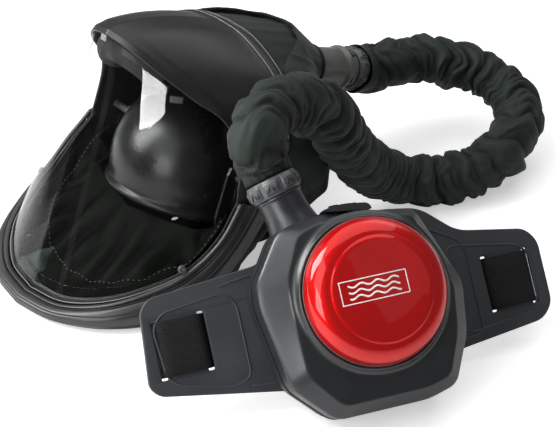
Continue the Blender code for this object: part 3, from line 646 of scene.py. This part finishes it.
def make_pad():
    shape = bpy.data.curves.new("pad_shape", "CURVE")
    shape.dimensions = "2D"
    shape.fill_mode = "BOTH"
    shape.extrude = 0.0016
    shape.bevel_depth = 0.0012
    shape.bevel_resolution = 3

    def add(points):
        spline = shape.splines.new("POLY")
        spline.points.add(len(points) - 1)
        for item, p in zip(spline.points, points):
            item.co = (p[0] * MM, p[1] * MM, 0, 1)
        spline.use_cyclic_u = True

    inset = rounded(PAD_OUTLINE, 12, 8)
    middle = np.array([0.0, -2.0])
    away = inset - middle
    add(inset - away / lengths(away) * 1.2)
    for side, y in WEBBING_MIDDLE.items():
        for x in SLOTS:
            half = 4.2
            add(rounded([(side * x - half, y - 28.2), (side * x + half, y - 28.2),
                         (side * x + half, y + 28.2), (side * x - half, y + 28.2)], 2.5, 4)[::-1])
    holder = bpy.data.objects.new("pad_shape", shape)
    bpy.context.scene.collection.objects.link(holder)
    bpy.context.view_layer.update()
    flat = bpy.data.meshes.new_from_object(holder)
    points = np.array([v.co for v in flat.vertices]) * 1000
    faces = [tuple(p.vertices) for p in flat.polygons]
    bpy.data.objects.remove(holder)
    points[:, 2] += -67.15
    pad = make("back_pad_fine", points, faces, BLOWER)
    weld = pad.modifiers.new("weld", "WELD")
    weld.merge_threshold = 0.00002
    put(pad, FOAM, stands_for=("back_pad",))
    pad.data.set_sharp_from_angle(angle=math.radians(40))
    for name, outline in (
            ("left_panel", [(-176, 22), (-118, 29), (-106, 18), (-106, -50), (-122, -56),
                            (-172, -44), (-182, -34), (-186, 10)]),
            ("left_wing", [(-128, 34), (-84, 40), (-70, 30), (-64, -62), (-116, -58)]),
            ("right_panel", [(108, 27), (176, 15), (188, 4), (186, -42), (176, -51), (112, -58),
                             (100, -48), (98, 14)]),
            ("right_wing", [(84, 50), (116, 33), (124, 22), (124, -60), (84, -66)])):
        line = rounded(outline, 9, 6)
        closed = "panel" in name
        if not closed:
            line = line[6:-6]
        line = resample(line, 160, closed)
        put(bead("pad_emboss_" + name, level(line, -64.7), 1.15, BLOWER, 10, closed), FOAM)


def make_strap():
    side_path = [(0, -95), (70, -97), (130, -95), (180, -89), (192, -82), (189, -75),
                 (185.2, -71), (183.4, -65), (179.5, -61.8), (174, -61.4), (151, -61.4),
                 (145.0, -61.8), (141.2, -65), (139.6, -70), (134, -73.4), (120, -75), (0, -75)]
    path = [(-x, z) for x, z in side_path] + side_path[::-1][1:-1]
    path = soften(resample(path, 560, True), 3, True)
    ahead = np.roll(path, -1, axis=0) - np.roll(path, 1, axis=0)
    across = np.column_stack([-ahead[:, 1], ahead[:, 0]])
    across /= lengths(across)
    blend = (np.clip(path[:, 0], -137, 137) + 137) / 274
    middle = WEBBING_MIDDLE[-1] * (1 - blend) + WEBBING_MIDDLE[1] * blend
    section = [(-25, 0.35), (-24.4, 0.75), (-12, 0.8), (0, 0.8), (12, 0.8), (24.4, 0.75),
               (25, 0.35), (25, -0.35), (24.4, -0.75), (12, -0.8), (0, -0.8), (-12, -0.8),
               (-24.4, -0.75), (-25, -0.35)]
    columns = []
    for width, depth in section:
        columns.append(np.column_stack([path[:, 0] + across[:, 0] * depth, middle + width,
                                        path[:, 1] + across[:, 1] * depth]))
    strap = grid("waist_strap_fine", columns, BLOWER, wrap=True, close=True)
    put(strap, WEBBING, stands_for=("waist_strap",))


# ---- head unit ----
BROW_EDGE = [(170, 0, 103), (161, 30, 98), (139, 57, 84), (112, 79, 69), (88, 98, 57),
             (67, 112, 26), (60, 120, -30), (59, 120, -38)]
BROW_REAR = [(19, 0, 128), (18, 34, 125), (17, 66, 114), (15, 94, 97), (13, 112, 68),
             (12, 121, 25), (16, 125, -31), (17, 125, -39)]
WINDOW_EDGE = [(186, 0, -165), (179, 46, -159), (155, 88, -138), (116, 116, -106),
               (92, 124, -82), (74, 127, -55), (62, 124, -32), (57, 122, -20)]
JAW_EDGE = [(198, 0, -181), (190, 50, -176), (162, 96, -164), (119, 127, -145),
            (80, 136, -118), (48, 135, -78), (20, 128, -34), (16, 126, -20)]
SIDE_START = 40.0
CONNECTOR_AT = (0, 0, 84)
PORT_EDGE = 120.0
DOME_AT = np.array([14.0, 0.0, -18.0])


def full_curve(half, per_span=8):
    left = curve(half, per_span)
    right = left[:0:-1] * np.array([1, -1, 1])
    return np.vstack([right, left])


def outward(points):
    """Level directions away from the head at points of a curve from ear to ear."""
    flat = np.column_stack([points[:, 0] - SIDE_START, points[:, 1] * 1.25,
                            np.zeros(len(points))])
    flat[:, 0] = np.maximum(flat[:, 0], 0)
    return flat / np.maximum(lengths(flat), 1e-6)


def shares(count):
    """0 in front, 1 at the ears."""
    return np.abs(2 * np.arange(count) / (count - 1) - 1)


def rise(count):
    """Directions across the visor: up in front, back at the ears."""
    share = shares(count)
    return np.column_stack([-np.sin(share * math.pi / 2), np.zeros(count),
                            np.cos(share * math.pi / 2)])


def brow_point(t):
    """Row of the brow's outer surface: t runs from its lower edge, 0, to its rear rim, 1."""
    edge = full_curve(BROW_EDGE)
    edge = edge + outward(edge) * 4.8
    rear = full_curve(BROW_REAR)
    count = len(edge)
    skirt = edge + rise(count) * 8
    front = (1 - shares(count))[:, None]
    lift = np.hstack([20 * front, 0 * front, 17 * front])
    control = (skirt + rear) / 2 + lift
    if t < 0.06:
        return edge + (skirt - edge) * (t / 0.06)
    s = (t - 0.06) / 0.94
    return skirt * (1 - s) ** 2 + control * 2 * s * (1 - s) + rear * s ** 2


def surface_normals(rows):
    """Outward direction at each point of a grid of rows."""
    rows = np.array(rows)
    across = np.gradient(rows, axis=1)
    along = np.gradient(rows, axis=0)
    normal = np.cross(across, along)
    return normal / np.maximum(np.linalg.norm(normal, axis=2)[..., None], 1e-9)


def make_brow():
    levels = [0, 0.012, 0.03, 0.06, 0.10, 0.14, 0.165, 0.18, 0.186, 0.195, 0.21, 0.24, 0.3,
              0.38, 0.46, 0.54, 0.62, 0.7, 0.78, 0.85, 0.9, 0.915, 0.93, 0.94, 0.955, 0.97,
              0.985, 1.0]
    rows = np.array([brow_point(t) for t in levels])
    normal = surface_normals(rows)
    front = 1 - shares(rows.shape[1])
    for k, t in enumerate(levels):
        band = 0.17 * np.minimum(front * 1.6, 1.0)
        lift = -1.5 - 1.2 * np.clip((band - t) / 0.05, 0, 1)
        if t > 0.9:
            lift = lift + 2.8 * min((t - 0.9) / 0.03, 1.0) - 1.2 * max((t - 0.97) / 0.03, 0.0)
        if t < 0.02:
            lift = lift + 0.9
        rows[k] += normal[k] * lift[:, None]
    brow = grid("brow_shell_fine", rows, HEAD)
    put(subdivide(thicken(brow, 3.2)), SATIN,
        stands_for=("brow_shell",))
    for name, k in (("brow_bead_front", levels.index(0.915)), ("brow_bead_rear", -1)):
        line = rows[k][2:-2] + normal[k][2:-2] * 0.5
        put(bead(name, line, 0.5, HEAD), LIGHT_CORD)
    tip = rows[0][len(rows[0]) // 2]
    tab = boxes("visor_tip_tab", [(tip + (-1, -2, -3), (0.9, 0, -0.2), (0, 4, 0), (0.3, 0, 3))],
                HEAD)
    put(soft_edges(tab, 0.6), LIGHT_CORD)


def make_visor():
    top = full_curve(BROW_EDGE)
    low = full_curve(WINDOW_EDGE)
    lift = rise(len(top)) * 2
    rows = [((top + lift) * (1 - t) + (low - lift) * t)[::-1] for t in np.linspace(0, 1, 25)]
    visor = grid("visor_fine", rows, HEAD)
    put(thicken(visor, 1.6), VISOR, stands_for=("visor",))
    border = (low - outward(low) * 2.4) + rise(len(low)) * 17
    put(bead("visor_border_line", border[9:-9], 0.4, HEAD, 8), BORDER)
    # Painted highlight: a light grey cord just outside the window's lower edge stands in for the
    # glint of light along the visor's edge.
    glint = (low + outward(low) * 0.6 + rise(len(low)) * 1.5)[::-1]
    put(bead("visor_edge_painted_glint", glint[6:-6], 0.55, HEAD, 8), LIGHT_CORD)
    seal = [(low - outward(low) * 4.6 + rise(len(low)) * reach)[::-1] for reach in (6, 3, 0, -2)]
    put(thicken(grid("visor_seal_fine", seal, HEAD), 2.0), RUBBER,
        stands_for=("visor_seal",))


def make_chin_frame():
    window = full_curve(WINDOW_EDGE)
    jaw = full_curve(JAW_EDGE)
    out = outward(window)
    start = window + out * 5.2 - rise(len(window)) * 1.2
    shape = [(-0.06, -4.0), (-0.05, -1.0), (-0.03, 0.2), (0.0, 0.6), (0.04, 0.4), (0.07, -0.4),
             (0.085, -2.4), (0.12, -2.6), (0.15, -0.6), (0.17, 0.4), (0.26, 1.0), (0.38, 1.2),
             (0.40, 0.7), (0.412, -0.3), (0.43, -0.3), (0.445, 0.6), (0.56, 1.0), (0.7, 0.8),
             (0.82, 0.2), (0.87, 0.1), (0.91, 1.0), (0.95, 1.5), (0.985, 0.9), (1.0, -0.6),
             (1.0, -3.0)]
    rows = []
    for t, step in shape:
        bulge = 5 * math.sin(math.pi * min(max(t, 0), 1))
        rows.append((start + (jaw - start) * t + out * (bulge + step))[::-1])
    chin = grid("chin_frame_fine", rows, HEAD)
    put(subdivide(thicken(chin, 2.6)), FRAME,
        stands_for=("chin_frame",))
    gasket = [(start + (jaw - start) * t + out * (step + 2.0))[::-1]
              for t, step in ((0.085, -0.6), (0.1, 0.2), (0.12, 0.3), (0.14, -0.4))]
    put(thicken(grid("frame_gasket", gasket, HEAD), 2.0), GLOSS)
    for name, index in (("right", 30), ("left", len(window) - 31)):
        at = window[index] + out[index] * 2.0 + np.array([0, 0, 9.0])
        place = HEAD.along(at, out[index])
        stud = lathe("visor_stud_" + name, [(0.01, -2), (4.2, -2), (4.2, 0.6), (3.4, 1.4),
                                            (1.4, 1.4), (0.9, 0.8), (0.01, 0.8)], place, 40)
        put(stud, FITTING)


def fold_noise(x, y, z):
    return noise.noise(Vector((x, y, z)))


def hood_rows(columns, levels):
    """The hood's outer surface, from its seam at the rims down to the neck opening."""
    crown = full_curve(BROW_REAR) * np.array([1, 0.99, 1]) + np.array([-8, 0, -1])
    jaw = full_curve(JAW_EDGE) * np.array([1, 0.96, 1]) + np.array([-9, 0, 5])
    loop = resample(np.vstack([crown[::-1][:-3], jaw[3:-3]]), columns, True)
    loop = soften(loop, 2, True)
    pitch = -math.asin(HEAD.axes[0][2])
    rows = []
    for t in levels:
        angle = np.arctan2(loop[:, 1], loop[:, 2] + 20)
        rear = np.cos(angle / 2) ** 2
        x = 8 - 92 * np.cos(angle)
        floor = -(HEAD.origin[2] - 6 - x * math.sin(pitch)) / math.cos(pitch)
        neck = np.column_stack([x, 74 * np.sin(angle), floor])
        first = loop + np.column_stack([-56 * rear - 12, loop[:, 1] * 0.10, 30 * rear + 2])
        second = neck + np.column_stack([-111 * rear, neck[:, 1] * 0.75 * (0.3 + rear),
                                         76 * rear + 8])
        if t < 0:
            middle = loop.mean(0)
            tuck = (middle - loop) / lengths(middle - loop)
            rows.append(loop + tuck * 3.4 * min(-t * 30, 1) + np.array([-t * 330, 0, -t * 20]))
            continue
        rows.append(loop * (1 - t) ** 3 + first * 3 * t * (1 - t) ** 2
                    + second * 3 * t * t * (1 - t) + neck * t ** 3)
    return np.array(rows)


def gather_at_port(rows):
    """Draw the cloth back around the air tube, up to a corded edge on the tube."""
    reach = np.hypot(rows[..., 1], rows[..., 2] - CONNECTOR_AT[2])
    cone = -PORT_EDGE + np.maximum(reach - 22.4, 0) * 2.1
    pucker = np.sin(np.arctan2(rows[..., 1], rows[..., 2] - CONNECTOR_AT[2]) * 15)
    cone = cone + pucker * np.clip((reach - 23) / 8, 0, 1) * 1.5
    behind = (rows[..., 0] < 10) & (reach < 90)
    drawn = np.where(behind, np.minimum(rows[..., 0], cone), rows[..., 0])
    low = (rows[..., 0] < -PORT_EDGE) & (reach < 34)
    rows[..., 0] = np.where(low, -PORT_EDGE, drawn)


def cut_port(hood):
    """Open the cloth where the tube passes through."""
    mesh = bmesh.new()
    mesh.from_mesh(hood.data)
    inside = []
    for vertex in mesh.verts:
        local = HEAD.axes @ (np.array(vertex.co) * 1000 - HEAD.origin)
        if local[0] < -40 and math.hypot(local[1], local[2] - CONNECTOR_AT[2]) < 19.5:
            inside.append(vertex)
    bmesh.ops.delete(mesh, geom=inside, context="VERTS")
    mesh.to_mesh(hood.data)
    mesh.free()


def make_hood():
    columns = 220
    levels = np.concatenate([[-0.04, -0.03, -0.02, -0.008], np.linspace(0, 1, 74)])
    rows = hood_rows(columns, levels)
    normal = surface_normals(rows[4:])
    run = np.linspace(0, 1, columns, endpoint=False) * TAU
    made = rows.copy()
    heights = np.zeros(rows.shape[:2])
    for k, t in enumerate(levels):
        if t < 0:
            continue
        swell = min(math.sin(math.pi * min(t * 1.1, 1.0)) * 1.3, 1.0)
        for c in range(columns):
            a = run[c]
            x, y = math.cos(a), math.sin(a)
            wander = fold_noise(x * 1.5, y * 1.5, t * 2.2 + 7)
            pleat = abs(fold_noise(x * 3.4 + wander * 0.7, y * 3.4, t * 1.1 + wander * 0.5))
            broad = fold_noise(x * 1.7 + 5, y * 1.7, t * 1.7 + 3)
            crease = abs(fold_noise(x * 5.5 + 9, y * 5.5, t * 3.4 + wander * 1.6))
            gather = 0.8 * math.cos(a * 56) * math.exp(-t / 0.04)
            depth = swell * (32.0 * pleat + 13.0 * broad + 11.0 * crease - 10.0) + gather
            made[k, c] = rows[k, c] + normal[k - 4, c] * depth
            heights[k, c] = depth
    gather_at_port(made)
    hood = grid("fabric_hood_fine", made, HEAD, wrap=True)
    mark_fold_shading(hood, heights, 1.6)
    cut_port(hood)
    put(subdivide(thicken(hood, 1.2)), HOOD, stands_for=("fabric_hood",))
    around = np.linspace(0, TAU, 64, endpoint=False)
    cord = np.column_stack([np.full(64, -PORT_EDGE - 1.0), 22.8 * np.cos(around),
                            CONNECTOR_AT[2] + 22.8 * np.sin(around)])
    put(bead("hood_port_cord", cord, 2.4, HEAD, 12, True), HOOD)
    rim = made[-2]
    hub = rim.mean(0)
    collar = []
    for share in np.linspace(0, 0.96, 28):
        line = rim + (hub - rim) * share
        folds = np.array([fold_noise(math.cos(a) * 5, math.sin(a) * 5, share * 2) for a in run])
        line[:, 2] += 2.5 + 5 * share + 5 * np.abs(folds) * math.sin(math.pi * share)
        collar.append(line)
    put(thicken(grid("hood_neck_collar", collar, HEAD, wrap=True), 1.0), LINING)
    put(bead("hood_neck_hem", resample(made[-2], 200, True), 2.2, HEAD, 10, True), HOOD)


def make_face_seal():
    window = full_curve(WINDOW_EDGE)
    count = len(window)
    lift = rise(count)
    out = outward(window)
    front = 1 - shares(count)
    start = window - out * 11 - lift * (4 - 10 * front)[:, None]
    end = np.column_stack([36 + 52 * front, window[:, 1] * 0.70, -56 - 20 * front])
    levels = np.linspace(0, 1, 44)
    keep = slice(9, count - 9)
    rows = []
    heights = []
    for t in levels:
        line = start * (1 - t) + end * t
        line[:, 2] -= 3 * math.sin(math.pi * t) * front
        height = []
        for i in range(count):
            fold = abs(fold_noise(window[i, 1] / 34, window[i, 0] / 40, t * 1.6))
            ripple = fold_noise(window[i, 1] / 16, 4, t * 2.5)
            sag = math.sin(math.pi * t)
            lift_here = 20 * fold + 4 * ripple - 4
            line[i] += np.array([0.2, 0, 1]) * sag * (lift_here - 12 * front[i])
            height.append(lift_here * sag)
        rows.append(line[keep])
        heights.append(height[keep])
    seal = grid("face_seal_fine", rows, HEAD)
    mark_fold_shading(seal, np.array(heights), 2.0)
    put(subdivide(thicken(seal, 1.0)), LINING, stands_for=("face_seal",))
    line = rows[13] + np.array([0.3, 0, 1.0])
    stitches(line, "face_seal_stitches", 5.5, np.array([0.3, 0, 1.0]))


def stitches(line, name, pitch, out, body=ROOT, place=None):
    """A row of short raised stitches along a line."""
    line = np.array(line)
    length = np.linalg.norm(np.diff(line, axis=0), axis=1).sum()
    points = resample(line, int(length / pitch) * 2 + 1)
    items = []
    for a, b in zip(points[::2], points[1::2]):
        way = (b - a) / 2
        size = np.linalg.norm(way)
        side = unit(np.cross(way, out))
        items.append(((a + b) / 2, way * 0.9 * min(1, 2.0 / size), side * 0.3,
                      unit(np.cross(side, way)) * 0.3))
    put(boxes(name, items, place or HEAD), THREAD, body)


def make_dome():
    profile = [(75.5, -45), (77.5, -46.5), (80.2, -47.2), (83.6, -46.5), (85.6, -44.2),
               (85.6, -41.6), (84.4, -39.8), (83.2, -38.6), (82.9, -36.5)]
    profile += [(86.5 * math.cos(a), 86 * math.sin(a) - 10)
                for a in np.linspace(-0.24, math.pi / 2 - 0.003, 30)]
    angle = np.linspace(0, TAU, 160, endpoint=False)
    rows = []
    for r, z in profile:
        x = r * np.cos(angle) + 3
        y = r * np.sin(angle) * 0.95
        height = np.full(len(angle), float(z))
        if z < 0:
            rear = np.clip((np.cos(angle) * -1 - 0.86) / 0.06, 0, 1)
            height = height + rear * 16 * min(1.0, -z / 40)
        rows.append(np.stack([x, y, height], 1) + DOME_AT)
    dome = grid("head_shell_fine", rows, HEAD, wrap=True)
    put(thicken(dome, 2.6), GLOSS, "headgear", ("head_shell",))


def make_connector():
    back = HEAD.along(CONNECTOR_AT, (-1, 0, 0))
    profile = [(17.6, 71), (20.4, 71), (20.6, 100), (21.2, 118), (22.0, 136), (22.2, 155),
               (22.4, 163), (24.2, 165), (25.2, 167), (25.2, 169.4), (23.6, 170.6), (21.2, 171.6),
               (20.6, 175), (20.6, 182), (20.3, 190.5), (17.6, 190.5), (17.6, 140)]
    tube = lathe("rear_connector_fine", curve(profile, 3), back, 120)
    put(tube, TUBE, stands_for=("rear_connector",))
    lugs = []
    for k in range(4):
        a = TAU * k / 4 + 0.4
        out = np.array([math.cos(a), math.sin(a), 0])
        side = np.array([-math.sin(a), math.cos(a), 0])
        lugs.append((out * 21.6 + np.array([0, 0, 177.0]), out * 1.8, side * 3.4, (0, 0, 2.4)))
    put(soft_edges(boxes("connector_lugs", lugs, back), 0.5), FITTING)
    locking_ring("head_ring_fine", back, 192, "head_ring", "head_locking_ring")
    hose_cuff("head_cuff", 200, 212, back, "hose_cuff_head")


def make_diffuser():
    edge = full_curve(BROW_EDGE)
    keep = np.abs(edge[:, 1] + 4) < 62
    points = edge[keep]
    inward = -outward(points)
    section = soften(resample([(6, -2), (7, -15), (15, -27), (34, -29), (50, -19), (52, -6),
                               (30, -2)], 28, True), 2, True)
    rows = []
    for i, p in enumerate(points):
        near = min(1.0, 0.55 + 0.45 * min(i, len(points) - 1 - i) / 5)
        ring = [p + inward[i] * (7 + (d - 7) * near) + np.array([0, 0, -3 + (h + 3) * near])
                for d, h in section]
        rows.append(ring)
    rows = np.array(rows)
    caps = [rows[0].mean(0) + (rows[0] - rows[0].mean(0)) * s for s in (0.02, 0.5, 0.85)]
    ends = [rows[-1].mean(0) + (rows[-1] - rows[-1].mean(0)) * s for s in (0.85, 0.5, 0.02)]
    body = grid("air_diffuser_fine", np.vstack([caps, rows, ends]), HEAD, wrap=True)
    put(body, DIFFUSER, stands_for=("air_diffuser",))
    left = HEAD.along((118, 60, 62), (0.6, 0.8, -0.1))
    tab = boxes("brow_clip", [((0, 0, 0), (3.5, 0, 0), (0, 6.5, 0), (0, 0, 1.2))], left)
    put(soft_edges(tab, 1.0), TAB)


# ---- hose ----
HOSE_POINTS = [(-98.5, 107, 218), (-90.5, 130, 227), (-73.5, 157, 226), (-51.5, 184, 211),
               (-29.5, 208, 178), (-7.0, 245, 123), (23.5, 298, 61), (70.5, 334, 29),
               (123.5, 348, 27), (167.5, 378, 38), (193.5, 422, 47), (192.5, 467, 55),
               (165.5, 502, 68), (129.5, 512, 77), (87.5, 507, 88), (56.5, 492, 90)]


def hose_path(blower_reach, head_reach):
    neck = BLOWER.along(NECK_AT, NECK_DIRECTION)
    back = HEAD.along(CONNECTOR_AT, (-1, 0, 0))
    start = [neck.world((0, 0, reach)) for reach in blower_reach]
    end = [back.world((0, 0, reach)) for reach in head_reach]
    return np.array(curve(start + HOSE_POINTS + end, 10))


def make_hose():
    path = resample(hose_path((58, 62, 66), (224, 220, 216)), 420)
    _, side, up = path_axes(path)
    angle = np.linspace(0, TAU, 24, endpoint=False)
    rows = []
    for i, p in enumerate(path):
        r = 16.2 + 0.8 * math.cos(i * TAU / 6)
        rows.append(p + r * (np.cos(angle)[:, None] * side[i] + np.sin(angle)[:, None] * up[i]))
    hose = grid("air_hose_fine", rows, WORLD, wrap=True)
    put(thicken(hose, 1.2), RUBBER, stands_for=("air_hose",))


def chance(number, row):
    """A fixed pseudo-random share for a numbered puff."""
    return (math.sin(number * 12.9898 + row * 78.233) * 43758.5453) % 1.0


def make_sleeve():
    rings = 460
    columns = 96
    path = soften(resample(hose_path((44.5, 52, 60), (221, 211, 199.5)), rings), 8)
    length = np.linalg.norm(np.diff(path, axis=0), axis=1).sum()
    along, side, up = path_axes(path)
    bend = np.gradient(along, axis=0) / (length / (rings - 1))
    bend = soften(bend, 10)
    corner = unit((0.35, -0.45, -0.82))
    rows = []
    for i, p in enumerate(path):
        s = length * i / (rings - 1)
        ease = min(min(s, length - s) / 26, 1.0)
        bell = min(max((s - length + 20) / 14, 0.0), 1.0)
        bell = bell * bell * (3 - 2 * bell)
        cinch = math.exp(-s / 8)
        ring = []
        for c in range(columns):
            a = TAU * c / columns
            x, y = math.cos(a), math.sin(a)
            ray = x * side[i] + y * up[i]
            inner = float(ray @ bend[i]) * 26
            warp = 24 * fold_noise(x * 0.7, y * 0.7, s / 80) + 6 * fold_noise(
                x * 1.5, y * 1.5, s / 40 + 9)
            q = (s + warp) / 28 + 0.35 * math.sin(s / 37)
            k = math.floor(q)
            puff = math.sin(math.pi * (q - k)) ** 0.6
            lean = math.cos(a - TAU * chance(k, 1))
            high = (4.0 + 4.6 * chance(k, 2)) * (0.85 + 0.3 * lean)
            q = (s + warp * 1.3) / 12.5 + 0.5 * math.sin(s / 23)
            k = math.floor(q)
            pinch = math.sin(math.pi * (q - k)) ** 0.7
            mask = fold_noise(x * 1.2 + 5, y * 1.2, s / 30 + chance(k, 3) * 0.4)
            mask = min(max(mask * 3.0 + 0.55 + 0.9 * inner, 0.12), 1.0)
            small = abs(fold_noise(x * 1.1 + 3, y * 1.1, (s + warp * 1.6) / 9))
            depth = high * puff + (2.8 + 1.6 * max(inner, 0)) * mask * (pinch - 0.6)
            depth += 3.6 * (small - 0.15)
            radius = 22.2 + depth * (0.35 + 0.65 * ease) + 1.2 * max(-inner, 0)
            radius -= cinch * (1.6 - 0.5 * math.cos(a * 18))
            hem = 26.9 + 0.9 * math.cos(a * 3 + 1) + 0.5 * small
            radius = radius * (1 - bell) + hem * bell
            point = max(float(ray @ corner), 0.0) ** 7 * 9 * bell
            ring.append(p + max(radius, 21.3) * ray + along[i] * point + ray * point * 0.35)
        rows.append(ring)
    sleeve = grid("hose_sleeve_fine", rows, WORLD, wrap=True)
    mark_fold_shading(sleeve, np.linalg.norm(np.array(rows) - path[:, None], axis=2), 1.3)
    put(subdivide(thicken(sleeve, 1.0)), HOOD, stands_for=("hose_sleeve",))
    seam = np.array(rows[14])
    middle = seam.mean(0)
    items = []
    for k in range(0, columns, 2):
        way = (seam[(k + 1) % columns] - seam[k]) / 2
        out = unit(seam[k] - middle)
        lie = unit(np.cross(way, out))
        items.append(((seam[k] + seam[(k + 1) % columns]) / 2, way * 0.9, lie * 0.3, out * 0.35))
    put(boxes("sleeve_stitches", items, WORLD), THREAD)


# ---- CAD nodes that stay ----
KEPT = (
    (CHARCOAL, 0.9, "rear_housing"),
    (CHARCOAL, 0.8, "battery_pack"),
    (FITTING, 0.4, "battery_latch"),
    (CHARCOAL, 1.1, "control_panel"),
    (RUBBER, 0.6, "power_button flow_button"),
    (BOARD, 0, "control_board"),
    (SATIN, 0.4, "volute"),
    (GLOSS, 0.2, "impeller"),
    (STEEL, 0.5, "motor"),
    (STEEL, 0.2, "motor_shaft"),
    (MEDIA, 0.6, "particulate_filter"),
    (MEDIA, 0.5, "prefilter"),
    (RUBBER, 0.3, "filter_seal headband"),
    (FITTING, 0.3, "filter_tray crown_strap"),
    (SOFT, 1.2, "sweatband"),
    (FITTING, 1.5, "ratchet_case buckle_socket"),
    (FITTING, 0.8, "ratchet_knob strap_keeper_left strap_keeper_right"),
    (SATIN, 0.8, "side_arm_left side_arm_right air_duct"),
    (FITTING, 1.2, "pivot_knob_left pivot_knob_right buckle_tongue"),
    (STEEL, 0.4, "housing_screw_1 housing_screw_2 housing_screw_3 housing_screw_4"),
)


def finish_cad_nodes():
    """Give each CAD node that shows as it is its finish and an edge radius in mm."""
    for finish, edge, names in KEPT:
        for name in names.split():
            node = frame["nodes"][name]
            node.data.materials.clear()
            node.data.materials.append(finish)
            if edge:
                soft_edges(node, edge)


# ---- room ----
def lamp(name, at, target, size, energy):
    """A soft box in metres and watts, aimed at a point."""
    light = bpy.data.lights.new(name, "AREA")
    light.shape = "RECTANGLE"
    light.size, light.size_y = size
    light.energy = energy
    made = bpy.data.objects.new("light_" + name, light)
    bpy.context.scene.collection.objects.link(made)
    made.location = at
    aim = Vector(target) - Vector(at)
    made.rotation_euler = aim.to_track_quat("-Z", "Y").to_euler()
    return made


def make_room():
    bpy.ops.mesh.primitive_plane_add(size=60, location=(0, 0, -0.0005))
    floor = bpy.context.object
    floor.name = "floor"
    n = Nodes("floor_white")
    seen = n.node("ShaderNodeLightPath").outputs["Is Camera Ray"]
    n.set(Base_Color=(0.92, 0.92, 0.92, 1.0), Roughness=0.6,
          Emission_Color=(1.0, 1.0, 1.0, 1.0), Emission_Strength=n.math("MULTIPLY", seen, 0.45))
    floor.data.materials.append(n.material)
    world = bpy.data.worlds.new("studio")
    bpy.context.scene.world = world
    world.use_nodes = True
    seen = world.node_tree.nodes.new("ShaderNodeLightPath").outputs["Is Camera Ray"]
    level = world.node_tree.nodes.new("ShaderNodeMapRange")
    level.inputs["To Min"].default_value = 0.19
    level.inputs["To Max"].default_value = 0.93
    world.node_tree.links.new(seen, level.inputs["Value"])
    backdrop = world.node_tree.nodes["Background"]
    backdrop.inputs[0].default_value = (1, 1, 1, 1)
    world.node_tree.links.new(level.outputs["Result"], backdrop.inputs[1])
    bpy.context.scene.view_settings.view_transform = "Standard"
    others = bpy.data.collections.new("all_but_visor")
    others.objects.link(bpy.data.objects["visor_fine"])
    others.collection_objects[0].light_linking.link_state = "EXCLUDE"
    for name, at, target, size, energy in (
            ("key", (-0.75, -0.50, 0.98), (-0.05, 0.15, 0.1), (0.8, 0.8), 4.2),
            ("left", (-0.98, 0.22, 0.80), (-0.05, 0.0, 0.15), (0.5, 0.8), 17.0),
            ("top", (0.0, 0.85, 1.8), (0.0, 0.45, 0.0), (2.6, 2.2), 21.0),
            ("back", (0.50, 1.05, 0.98), (-0.1, 0.2, 0.2), (0.9, 0.6), 1.4),
            ("right", (0.75, -0.45, 0.95), (0.0, 0.1, 0.1), (0.6, 0.6), 0.25)):
        made = lamp(name, at, target, size, energy)
        if name in ("top", "left"):
            made.light_linking.receiver_collection = others
    glass = bpy.data.collections.new("visor_reflections")
    glass.objects.link(bpy.data.objects["visor_fine"])
    for name, at, target, size, energy in (
            ("window", (-0.200, -0.228, 0.352), (-0.2, 0.2, 0.206), (0.20, 0.085), 3.0),
            ("streak", (-1.10, -0.15, 0.20), (-0.27, 0.19, 0.12), (0.14, 0.5), 0.10)):
        lamp(name, at, target, size, energy).light_linking.receiver_collection = glass
    front = lamp("front", (-0.78, -0.78, 0.50), (-0.08, 0.0, 0.1), (0.55, 0.55), 5.6)
    front.light_linking.receiver_collection = others
    lens = bpy.data.cameras.new("camera")
    lens.lens = 91.8
    lens.sensor_width = 36
    lens.clip_start = 0.01
    camera = bpy.data.objects.new("camera", lens)
    bpy.context.scene.collection.objects.link(camera)
    camera.location = (-0.0795, -0.977, 0.870)
    aim = Vector((-0.0795, 0.142, 0.115)) - camera.location
    camera.rotation_euler = aim.to_track_quat("-Z", "Y").to_euler()
    bpy.context.scene.camera = camera


def main():
    make_front_housing()
    make_cover()
    make_neck()
    make_pad()
    make_strap()
    make_brow()
    make_visor()
    make_chin_frame()
    make_hood()
    make_face_seal()
    make_dome()
    make_connector()
    make_diffuser()
    make_hose()
    make_sleeve()
    finish_cad_nodes()
    make_room()


main()
